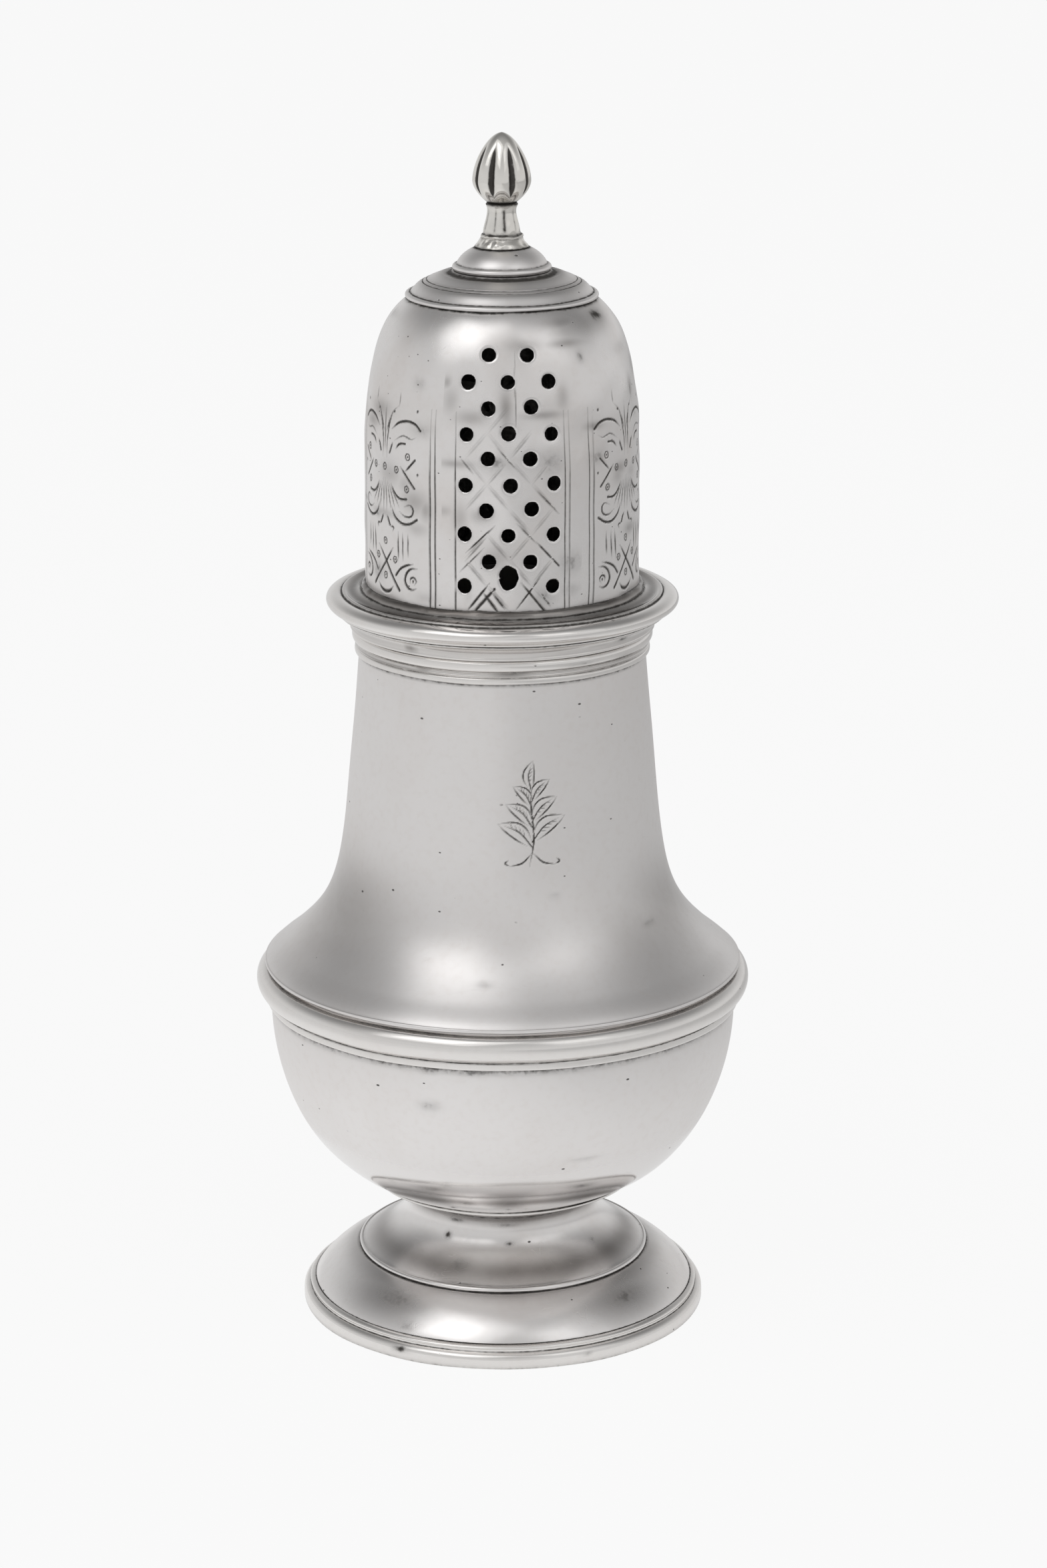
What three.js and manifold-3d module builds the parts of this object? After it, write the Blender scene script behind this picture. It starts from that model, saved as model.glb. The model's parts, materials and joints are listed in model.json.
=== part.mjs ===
// A silver sugar caster: a vase body on a spreading foot, with a pierced pull-off cover and a bud finial.
// Sizes are millimetres, +Z is up, and the origin is the centre of the foot's underside.

import * as THREE from 'three';
import { mergeVertices } from 'three/addons/utils/BufferGeometryUtils.js';
import Module from 'manifold-3d';

const wasm = await Module();
wasm.setup();

// Turned work: facets round the axis
const turnedFacets = 30;
const finialFacets = 24;
const budFacets = 32;
const boreFacets = 6;

// Foot
const footRadius = 31.0;
const footRimHeight = 3.45;
const footRimWidth = 3.0;
const footLineInset = 1.8;
const footBeadWidth = 0.85;
const footBeadRise = 0.45;
const footDishRise = 5.3;
const footStepRadius = 22.7;
const footLedge = 2.0;
const footWall = 1.0;
const spoolRise = 9.6;
const spoolEdgeInset = 0.4;
const spoolRoll = 0.75;
const spoolTopRadius = 15.1;
const spoolWall = 1.1;
const collarRise = 1.1;
const collarBead = 0.25;
const collarProud = 0.3;

// Bowl and girdle
const bowlRadius = 35.4;
const bowlWall = 1.0;
const bowlDepth = 31.2;
const bowlUpright = 4.0;
const bowlSeatInset = 1.4;
const bowlSeatWidth = 3.5;
const bowlSeatRise = 1.5;
const bowlFloorDrop = 0.9;
const girdleProud = 2.25;
const girdleDrop = 2.8;
const girdleRise = 2.6;
const girdleFillet = 0.75;
const girdleRound = 1.9;

// Bell-shaped upper body and its neck
const bellEdgeProud = 0.9;
const bellEdgeRise = 3.25;
const bellLip = 0.35;
const bellWall = 0.8;
const bellRise = 48.55;
const neckRadius = 21.45;
const neckRise = 6.2;
const neckBeadWidth = 0.5;
const neckRimProud = 3.05;

// Cover
const coverSeatGap = 0.1;
const sleeveClearance = 0.3;
const sleeveLength = 13.9;
const sleeveWall = 0.7;
const solderGap = 0.05;
const coverWall = 0.7;
const flangeProud = 1.85;
const flangeRise = 3.25;
const flangeRound = 1.6;
const flangeRoundRise = 1.15;
const footWireWidth = 0.8;
const footWireRise = 1.05;
const domeStraight = 20.0;
const domeShoulder = 25.05;
const capSeatRadius = 13.8;
const crownWidth = 2.3;
const crownRise = 1.0;

// Piercing: six equal panels round the cover, every other one pierced
const coverTurn = 3.0;
const piercedPanels = 3;
const holeRadius = 1.0;
const firstHoleRise = 6.0;
const lastHoleDrop = 5.0;
const holeRowPitch = 3.75;
const holeColumnAngle = 18.2;
const wornHoleRadius = 1.6;
const wornHoleRise = 1.3;

// Cap, plinth and finial
const capProud = 0.4;
const capRise = 3.9;
const capWall = 0.8;
const plinthRadius = 7.3;
const plinthRise = 3.4;
const plinthBead = 0.5;
const stemBaseRadius = 4.0;
const stemWaistRadius = 2.1;
const stemRise = 6.5;
const budRadius = 4.3;
const budRise = 10.3;
const budLobes = 8;
const budGroove = 0.1;

// Radii that follow from their neighbours
const footLineRadius = footRadius - footLineInset;
const spoolEdgeRadius = footStepRadius - spoolEdgeInset;
const bowlSeatInner = spoolTopRadius + bowlSeatInset;
const bowlSeatRadius = bowlSeatInner + bowlSeatWidth;
const collarRadius = bowlSeatRadius + collarProud;
const girdleFilletRadius = bowlRadius + girdleFillet;
const girdleRadius = bowlRadius + girdleProud;
const bellEdgeRadius = bowlRadius + bellEdgeProud;
const neckRimRadius = neckRadius + neckRimProud;
const sleeveRadius = neckRadius - bellWall - sleeveClearance;
const coverRadius = sleeveRadius + solderGap;
const flangeRadius = neckRimRadius + flangeProud;
const capOpening = capSeatRadius - crownWidth;
const capRadius = capSeatRadius + capProud;

// Heights above the table
const dishBase = footRimHeight;
const footStep = dishBase + footDishRise;
const spoolTop = footStep + spoolRise;
const bowlSeat = spoolTop + collarRise;
const bowlFoot = bowlSeat + bowlSeatRise;
const girdleSeam = bowlFoot + bowlDepth;
const bellEdge = girdleSeam + bellEdgeRise;
const neckBase = bellEdge + bellRise;
const mouth = neckBase + neckRise;
const coverSeat = mouth + coverSeatGap;
const flangeTop = coverSeat + flangeRise;
const domeFoot = coverSeat + flangeRise * 0.6;
const domeSpring = domeFoot + domeStraight;
const capSeat = domeSpring + domeShoulder;
const capTop = capSeat + capRise;
const plinthTop = capTop + plinthRise;
const stemTop = plinthTop + stemRise;

const satinSilver = new THREE.MeshStandardMaterial({ color: 0xc7c3be, roughness: 0.38, metalness: 1 });
const brightSilver = new THREE.MeshStandardMaterial({ color: 0xd6d3cf, roughness: 0.22, metalness: 1 });
const castSilver = new THREE.MeshStandardMaterial({ color: 0xcdcac2, roughness: 0.28, metalness: 1 });

const point = (radius, height) => new THREE.Vector2(radius, height);

// Gives points by their shares of a band between two radii and two heights
function band(innerRadius, outerRadius, low, high) {
  const { lerp } = THREE.MathUtils;
  return (out, up) => point(lerp(innerRadius, outerRadius, out), lerp(low, high, up));
}

// A smooth stretch of an outline, from its start to its end, with the two pulls that shape it
function bend(start, leave, arrive, end, steps) {
  return new THREE.CubicBezierCurve(start, leave, arrive, end).getPoints(steps);
}

// A bead or torus: an arc of an ellipse, in degrees, drawn anticlockwise
function bead(radius, height, width, rise, from, to, steps) {
  const start = THREE.MathUtils.degToRad(from);
  const end = THREE.MathUtils.degToRad(to);
  return new THREE.EllipseCurve(radius, height, width, rise, start, end, false).getPoints(steps);
}

// The same outline moved square to itself by the wall thickness, to the left of its direction
function inset(outline, wall) {
  return outline.map((here, i) => {
    const before = outline[Math.max(i - 1, 0)];
    const after = outline[Math.min(i + 1, outline.length - 1)];
    const along = after.clone().sub(before).normalize();
    return point(here.x - along.y * wall, here.y + along.x * wall);
  });
}

// Turns a closed outline about the axis into one closed body
function turn(outline, facets = turnedFacets) {
  const onAxis = outline[0].x === 0;
  const closed = onAxis ? outline : [...outline, outline[0].clone()];
  const shape = new THREE.LatheGeometry(closed, facets, -Math.PI / facets);
  shape.rotateX(Math.PI / 2);
  return shape;
}

const caster = new THREE.Group();
const body = new THREE.Group();
const cover = new THREE.Group();
cover.rotation.z = THREE.MathUtils.degToRad(coverTurn);
caster.add(body, cover);

function place(group, name, shape, material) {
  const mesh = new THREE.Mesh(shape, material);
  mesh.name = name;
  group.add(mesh);
}

// Foot rim: a drawn moulding, an upright band below a fine bead
function footRim() {
  const inner = footRadius - footRimWidth;
  const at = band(inner, footRadius, 0, footRimHeight);
  const beadMiddle = footRimHeight - footBeadRise;
  return turn([
    at(0, 0),
    at(0.93, 0),
    at(1, 0.12),
    at(1, 0.38),
    at(0.84, 0.62),
    at(0.69, 0.7),
    ...bead(footLineRadius, beadMiddle, footBeadWidth, footBeadRise, -30, 90, 3),
    at(0, 1),
  ]);
}

// Foot dish: the domed plate between the rim and the step, with a ledge for the spool
function footDish() {
  const at = band(footStepRadius, footLineRadius, dishBase, footStep);
  const top = bend(at(1, 0), at(0.81, 0.38), at(0.36, 0.79), at(0, 1), 4);
  const under = inset(top, footWall).slice(1, -1);
  const ledge = footStepRadius - footLedge;
  return turn([
    ...top,
    point(ledge, footStep),
    point(ledge, footStep - footWall),
    ...under.reverse(),
    point(footLineRadius - footWall, dishBase),
  ]);
}

// Foot spool: the hollow stem, rolled over at its lower edge
function footSpool() {
  const at = band(spoolTopRadius, spoolEdgeRadius, footStep, spoolTop);
  const rolled = band(spoolEdgeRadius - 2 * spoolRoll, spoolEdgeRadius, footStep, footStep + spoolRoll);
  const side = bend(rolled(0.67, 1), at(0.5, 0.25), at(-0.28, 0.54), at(0, 1), 6);
  const under = inset(side, spoolWall).slice(1, -1);
  return turn([
    rolled(0, 0),
    rolled(0.93, 0),
    rolled(1, 0.47),
    ...side,
    point(spoolTopRadius - spoolWall, spoolTop),
    ...under.reverse(),
  ]);
}

// Collar: a beaded ring that carries the bowl on the spool
function footCollar() {
  const inner = spoolTopRadius - spoolWall;
  const beadMiddle = bowlFoot - collarBead;
  const at = band(bowlSeatInner, collarRadius, spoolTop, beadMiddle);
  return turn([
    point(inner, spoolTop),
    point(spoolTopRadius, spoolTop),
    at(0.16, 0.33),
    at(0.8, 0.9),
    ...bead(collarRadius - collarBead, beadMiddle, collarBead, collarBead, -60, 60, 2),
    point(bowlSeatRadius, bowlFoot),
    point(bowlSeatInner, bowlSeat),
    point(inner, bowlSeat - collarRise / 2),
  ]);
}

// Bowl: raised from sheet, closed at the bottom and open at the girdle
function bowl() {
  const shoulder = girdleSeam - bowlUpright;
  const inner = bowlRadius - bowlWall;
  const at = band(0, bowlRadius, bowlFoot, shoulder);
  const side = bend(point(bowlSeatRadius, bowlFoot), at(0.997, 0.245), at(1, 0.97), at(1, 1), 7);
  const within = inset(side, bowlWall).slice(1, -1);
  return turn([
    point(0, bowlSeat - bowlFloorDrop),
    point(bowlSeatInner, bowlSeat),
    ...side,
    point(bowlRadius, girdleSeam),
    point(inner, girdleSeam),
    point(inner, shoulder),
    ...within.reverse(),
    point(bowlSeatInner, bowlSeat + bowlWall * 1.1),
    point(0, bowlSeat - bowlFloorDrop + bowlWall),
  ]);
}

// Girdle: an applied torus with a fillet below it, over the seam of the bowl and the bell
function girdleMoulding() {
  const top = girdleSeam + girdleRise;
  const at = band(bowlRadius, girdleFilletRadius, girdleSeam - girdleDrop, girdleSeam);
  const torusMiddle = top - girdleRound * 1.08;
  const torusWidth = (girdleRadius - girdleFilletRadius) * 1.1;
  return turn([
    at(0, 0),
    at(0.53, 0),
    at(1, 0.11),
    at(1, 0.375),
    ...bead(girdleRadius - torusWidth, torusMiddle, torusWidth, girdleRound, -80, 80, 5),
    point(bowlRadius, top),
  ]);
}

// Bell: the waisted upper body, from the girdle to the mouth
function upperBody() {
  const inner = bowlRadius - bowlWall;
  const at = band(neckRadius, bellEdgeRadius, bellEdge, neckBase);
  const lip = band(bowlRadius, bellEdgeRadius, bellEdge - bellLip, bellEdge + bellLip);
  const side = bend(lip(0.78, 1), at(0.1, 0.232), at(0.24, 0.248), at(0, 0.996), 10);
  const within = inset(side, bellWall).filter((p) => p.x < inner);
  return turn([
    point(bowlRadius, girdleSeam),
    lip(0, -0.29),
    lip(0.78, 0),
    lip(1, 0.5),
    ...side,
    point(neckRadius, mouth),
    point(neckRadius - bellWall, mouth),
    ...within.reverse(),
    point(inner, bellEdge - 2 * bellLip),
    point(inner, girdleSeam),
  ]);
}

// Neck moulding: fillet, bead, fillet and a hollow that rises to the rim
function neckMoulding() {
  const at = band(neckRadius, neckRimRadius, neckBase, mouth);
  const beadMiddle = at(0.15, 0.363);
  return turn([
    at(0, 0),
    at(0.2, 0.016),
    at(0.18, 0.145),
    ...bead(beadMiddle.x, beadMiddle.y, neckBeadWidth, neckRise * 0.19, -75, 75, 3),
    at(0.41, 0.605),
    at(0.41, 0.677),
    at(0.656, 0.839),
    at(1, 0.968),
    at(1, 1),
    at(0, 1),
  ]);
}

// Sleeve: the plain bezel that slips into the neck
function coverSleeve() {
  const foot = domeFoot - sleeveLength;
  return turn([
    point(sleeveRadius - sleeveWall, foot),
    point(sleeveRadius, foot),
    point(sleeveRadius, domeFoot),
    point(sleeveRadius - sleeveWall, domeFoot),
  ]);
}

// Flange: the bold torus of the cover, stepped down in a hollow to the dome
function coverFlange() {
  const wireRadius = coverRadius + footWireWidth;
  const torusMiddle = coverSeat + flangeRise * 0.49;
  const under = band(neckRimRadius, flangeRadius, coverSeat, torusMiddle);
  const hollow = band(wireRadius, flangeRadius - flangeRound, torusMiddle, flangeTop);
  return turn([
    point(coverRadius, coverSeat),
    under(0, 0),
    under(0.3, 0.25),
    ...bead(flangeRadius - flangeRound, torusMiddle, flangeRound, flangeRoundRise, -105, 110, 6),
    hollow(0.76, 0.49),
    hollow(0.72, 0.79),
    hollow(0.58, 0.85),
    hollow(0.17, 0.76),
    hollow(0, 1),
    point(coverRadius, flangeTop),
  ]);
}

// Foot wire: the small bead soldered where the dome meets the flange
function domeFootWire() {
  return turn([
    point(coverRadius, flangeTop),
    ...bead(coverRadius, flangeTop, footWireWidth, footWireRise, 0, 90, 2),
  ]);
}

// Outline of the dome's outside, from its foot to the edge of the crown
function domeSide() {
  const at = band(capSeatRadius, coverRadius, domeSpring, capSeat);
  return [
    point(coverRadius, domeFoot),
    ...bend(
      at(1, 0),
      at(1, 0.735),
      at(0.48, 0.905),
      at(0, 1),
      8,
    ),
    point(capOpening, capSeat + crownRise),
  ];
}

// Radius of the dome's outside at a height, read along its outline
function domeRadiusAt(height) {
  const side = domeSide();
  const next = side.findIndex((p) => p.y > height);
  const low = side[next - 1];
  const high = side[next];
  return THREE.MathUtils.mapLinear(height, low.y, high.y, low.x, high.x);
}

// Makes a solid for cutting from a closed geometry
function asSolid(shape) {
  const bare = shape.clone();
  bare.deleteAttribute('normal');
  bare.deleteAttribute('uv');
  const welded = mergeVertices(bare, 1e-4);
  return new wasm.Manifold(new wasm.Mesh({
    numProp: 3,
    vertProperties: new Float32Array(welded.attributes.position.array),
    triVerts: new Uint32Array(welded.index.array),
  }));
}

// Turns a cut solid back into a geometry
function asGeometry(solid) {
  const cut = solid.getMesh();
  const shape = new THREE.BufferGeometry();
  shape.setAttribute('position', new THREE.BufferAttribute(new Float32Array(cut.vertProperties), 3));
  shape.setIndex(new THREE.BufferAttribute(new Uint32Array(cut.triVerts), 1));
  shape.computeVertexNormals();
  return shape;
}

// A punch that goes square through the cover's wall at an angle from the front and a height
function punch(angle, height, radius) {
  const wallRadius = domeRadiusAt(height);
  const fall = domeRadiusAt(height - radius / 2) - domeRadiusAt(height + radius / 2);
  const lean = Math.atan2(fall, radius);
  const shape = new THREE.CylinderGeometry(radius, radius, coverWall * 5, boreFacets);
  shape.rotateX(-lean);
  shape.translate(0, -wallRadius, height);
  shape.rotateZ(THREE.MathUtils.degToRad(angle));
  return shape;
}

// The places of one panel's holes: rows of three and two by turns, from the bottom up
function panelHoles() {
  const lowest = domeFoot + firstHoleRise;
  const highest = capSeat - lastHoleDrop;
  const rows = 1 + Math.floor((highest - lowest) / holeRowPitch);
  const places = [];
  for (let row = 0; row < rows; row += 1) {
    const count = row % 2 === 0 ? 3 : 2;
    for (let column = 0; column < count; column += 1) {
      const angle = (column - (count - 1) / 2) * holeColumnAngle;
      places.push({ row, column, angle, height: lowest + row * holeRowPitch });
    }
  }
  return places;
}

// Dome: sheet turned up, seamed and pierced
function piercedDome() {
  const side = domeSide();
  const within = inset(side, coverWall);
  within[0].y = domeFoot;
  within[within.length - 1].set(capOpening, capSeat + crownRise - coverWall);
  let dome = asSolid(turn([...side, ...within.reverse()]));
  for (let panel = 0; panel < piercedPanels; panel += 1) {
    const middle = (panel * 360) / piercedPanels;
    for (const { row, column, angle, height } of panelHoles()) {
      const worn = panel === 0 && row === 0 && column === 1;
      const radius = worn ? wornHoleRadius : holeRadius;
      const rise = worn ? wornHoleRise : 0;
      dome = dome.subtract(asSolid(punch(middle + angle, height + rise, radius)));
    }
  }
  return asGeometry(dome);
}

// Cap: a turned plate with a beaded rim, over the crown of the dome
function coverCap() {
  const at = band(plinthRadius, capRadius, capSeat, capTop);
  const rimRise = capRise * 0.09;
  return turn([
    point(0, capTop - capWall),
    point(plinthRadius, capTop - capWall),
    point(capOpening, capSeat + crownRise * 1.25),
    point(capOpening, capSeat + crownRise),
    point(capSeatRadius, capSeat),
    ...bead(capRadius - capProud, capSeat + rimRise, capProud, rimRise, -60, 90, 2),
    at(0.89, 0.205),
    at(0.76, 0.46),
    at(0.51, 0.71),
    at(0.23, 0.885),
    at(0, 1),
    point(0, capTop),
  ]);
}

// Plinth: the small domed mount of the finial
function finialPlinth() {
  const at = band(stemBaseRadius, plinthRadius, capTop, plinthTop);
  const beadRadius = plinthRadius - plinthBead;
  return turn([
    point(0, capTop),
    at(0.9, 0),
    ...bead(beadRadius, capTop + plinthBead, plinthBead, plinthBead, -30, 80, 3),
    ...bend(at(0.82, 0.32), at(0.65, 0.57), at(0.39, 0.86), at(0.03, 1), 4),
    point(0, plinthTop),
  ], finialFacets);
}

// Stem: a waisted baluster on a small spread base
function finialStem() {
  const at = band(stemWaistRadius, stemBaseRadius, plinthTop, stemTop);
  return turn([
    point(0, plinthTop),
    at(1, 0),
    at(0.97, 0.06),
    at(0.63, 0.15),
    at(0.6, 0.21),
    at(0.5, 0.28),
    at(0.34, 0.32),
    at(0.21, 0.55),
    at(0, 0.8),
    at(0.1, 0.95),
    at(0.05, 1),
    point(0, stemTop),
  ], finialFacets);
}

// Bud: an egg shape, pressed in by tapering grooves between its lobes
function finialBud() {
  const at = band(0, budRadius, stemTop, stemTop + budRise);
  const egg = [
    ...bend(point(stemWaistRadius, stemTop), at(0.93, 0.05), at(1, 0.19), at(1, 0.31), 3),
    ...bend(at(1, 0.31), at(1, 0.55), at(0.49, 0.95), at(0, 1), 6).slice(1),
  ];
  const shape = turn([point(0, stemTop), ...egg], budFacets);
  const spots = shape.attributes.position;
  for (let i = 0; i < spots.count; i += 1) {
    const angle = Math.atan2(spots.getX(i), -spots.getY(i));
    const up = THREE.MathUtils.clamp((spots.getZ(i) - stemTop) / budRise, 0, 1);
    const groove = Math.max(0, -Math.cos(angle * budLobes));
    const press = 1 - budGroove * groove * Math.sin(Math.PI * up);
    spots.setXY(i, spots.getX(i) * press, spots.getY(i) * press);
  }
  return shape;
}

place(body, 'foot_rim', footRim(), brightSilver);
place(body, 'foot_dish', footDish(), satinSilver);
place(body, 'foot_spool', footSpool(), satinSilver);
place(body, 'foot_collar', footCollar(), brightSilver);
place(body, 'bowl', bowl(), satinSilver);
place(body, 'girdle_moulding', girdleMoulding(), brightSilver);
place(body, 'upper_body', upperBody(), satinSilver);
place(body, 'neck_moulding', neckMoulding(), brightSilver);
place(cover, 'cover_sleeve', coverSleeve(), satinSilver);
place(cover, 'cover_flange', coverFlange(), brightSilver);
place(cover, 'dome_foot_wire', domeFootWire(), brightSilver);
place(cover, 'pierced_dome', piercedDome(), satinSilver);
place(cover, 'cover_cap', coverCap(), satinSilver);
place(cover, 'finial_plinth', finialPlinth(), satinSilver);
place(cover, 'finial_stem', finialStem(), castSilver);
place(cover, 'finial_bud', finialBud(), castSilver);

export default caster;
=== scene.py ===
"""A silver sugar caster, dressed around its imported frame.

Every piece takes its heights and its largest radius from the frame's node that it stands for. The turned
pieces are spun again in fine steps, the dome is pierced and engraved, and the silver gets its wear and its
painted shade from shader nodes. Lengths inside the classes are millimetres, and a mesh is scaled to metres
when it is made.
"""

from __future__ import annotations

import json
import logging
import math
import random
from dataclasses import dataclass, field, replace
from enum import Enum
from typing import Callable, Iterable, Sequence

import bmesh
import bpy
import numpy as np
from mathutils import Matrix, Vector, kdtree

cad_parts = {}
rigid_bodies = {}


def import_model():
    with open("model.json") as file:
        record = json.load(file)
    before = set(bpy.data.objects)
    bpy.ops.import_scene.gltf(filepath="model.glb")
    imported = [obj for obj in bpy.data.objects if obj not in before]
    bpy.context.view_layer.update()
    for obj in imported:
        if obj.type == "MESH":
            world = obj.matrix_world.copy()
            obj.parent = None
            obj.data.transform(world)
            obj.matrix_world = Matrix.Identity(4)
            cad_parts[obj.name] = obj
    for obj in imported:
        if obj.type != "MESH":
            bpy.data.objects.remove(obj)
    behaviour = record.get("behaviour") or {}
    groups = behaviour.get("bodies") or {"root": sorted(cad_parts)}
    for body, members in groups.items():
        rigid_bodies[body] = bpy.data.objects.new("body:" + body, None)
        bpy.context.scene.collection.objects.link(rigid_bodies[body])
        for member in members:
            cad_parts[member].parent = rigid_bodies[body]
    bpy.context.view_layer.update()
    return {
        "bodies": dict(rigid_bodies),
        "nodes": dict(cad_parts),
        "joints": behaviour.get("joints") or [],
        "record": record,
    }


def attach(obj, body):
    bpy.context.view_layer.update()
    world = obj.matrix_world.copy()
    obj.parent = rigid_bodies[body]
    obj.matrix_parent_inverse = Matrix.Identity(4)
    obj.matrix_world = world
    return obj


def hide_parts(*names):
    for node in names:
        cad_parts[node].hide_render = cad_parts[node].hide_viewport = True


LOG = logging.getLogger("caster")

MM = 0.001
FINE_STEPS = 192
SMALL_STEPS = 128
DOUBLINGS = 3
MERGE_DISTANCE = 2e-7
MASKS = ("tarnish_and_shade", "film_and_shade", "cut", "inner", "polish")
SIDES = (-1.0, 1.0)

Point = tuple[float, float]
Colour = tuple[float, float, float, float]


class Body(Enum):
    """The two bodies that the pieces ride on."""

    CASTER = "caster_body"
    COVER = "cover"


class PanelKind(Enum):
    """How one of the six panels of the dome is worked."""

    PIERCED = "pierced"
    BLIND = "blind"


class Taper(Enum):
    """Which ends of a graver's cut run out thin."""

    NONE = "none"
    START = "start"
    END = "end"
    BOTH = "both"


@dataclass(frozen=True)
class Place:
    """A node's lowest and highest point and its largest radius, in millimetres."""

    low: float
    high: float
    radius: float

    @classmethod
    def of(cls, frame: dict, node: str) -> Place:
        """Reads a node's place from its mesh.

        Args:
            node: the node's name.

        Returns:
            The place of the node.
        """
        spots = [vertex.co for vertex in frame["nodes"][node].data.vertices]
        heights = [spot.z / MM for spot in spots]
        radius = max(math.hypot(spot.x, spot.y) for spot in spots) / MM
        return cls(min(heights), max(heights), radius)

    @property
    def rise(self) -> float:
        """Height of the piece."""
        return self.high - self.low


def fading(distance: np.ndarray, amount: float, reach: float) -> np.ndarray:
    """An amount that fades away over a reach."""
    return amount * np.exp(-((distance / reach) ** 2))


@dataclass(frozen=True)
class Crevice:
    """A ring that is darkened, for tarnish in a groove or at a soldered joint and for painted shade in a
    hollow; a smooth one is a thin film.
    """

    radius: float
    height: float
    spread: float = 0.25
    strength: float = 0.9
    smooth: bool = False

    def distance(self, radius: np.ndarray | float, height: np.ndarray | float) -> np.ndarray | float:
        """Distance of points from the ring, in the plane of the outline."""
        return np.hypot(radius - self.radius, height - self.height)

    def mark(self, relief: Relief) -> None:
        """Darkens a surface round the ring."""
        away = self.distance(relief.radius, relief.spots[:, 2])
        relief.darken(fading(away, self.strength, self.spread), self.smooth)


@dataclass(frozen=True)
class TarnishAndShadePatch:
    """A darkened patch, for old tarnish and for painted shade and dark reflections: its angle in degrees
    from the front, its height, half sizes and strength.
    """

    angle: float
    height: float
    half_width: float
    half_height: float
    strength: float = 0.5
    smooth: bool = False

    def mark(self, relief: Relief) -> None:
        """Darkens the outer side of a surface under the patch.

        Args:
            relief: the surface.
        """
        across = np.radians(relief.swing(self.angle)) * relief.radius / self.half_width
        up = (relief.spots[:, 2] - self.height) / self.half_height
        share = np.exp(-across * across - up * up) * (relief.inner < 0.5)
        relief.darken(self.strength * share, self.smooth)


Mark = Crevice | TarnishAndShadePatch


@dataclass(frozen=True)
class Corner:
    """A point that others are measured from, by their shares of a width and a rise."""

    radius: float
    height: float
    width: float = 1.0
    rise: float = 1.0

    def __call__(self, across: float, up: float) -> Point:
        """The point at these shares."""
        return (self.radius + across * self.width, self.height + up * self.rise)


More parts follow.
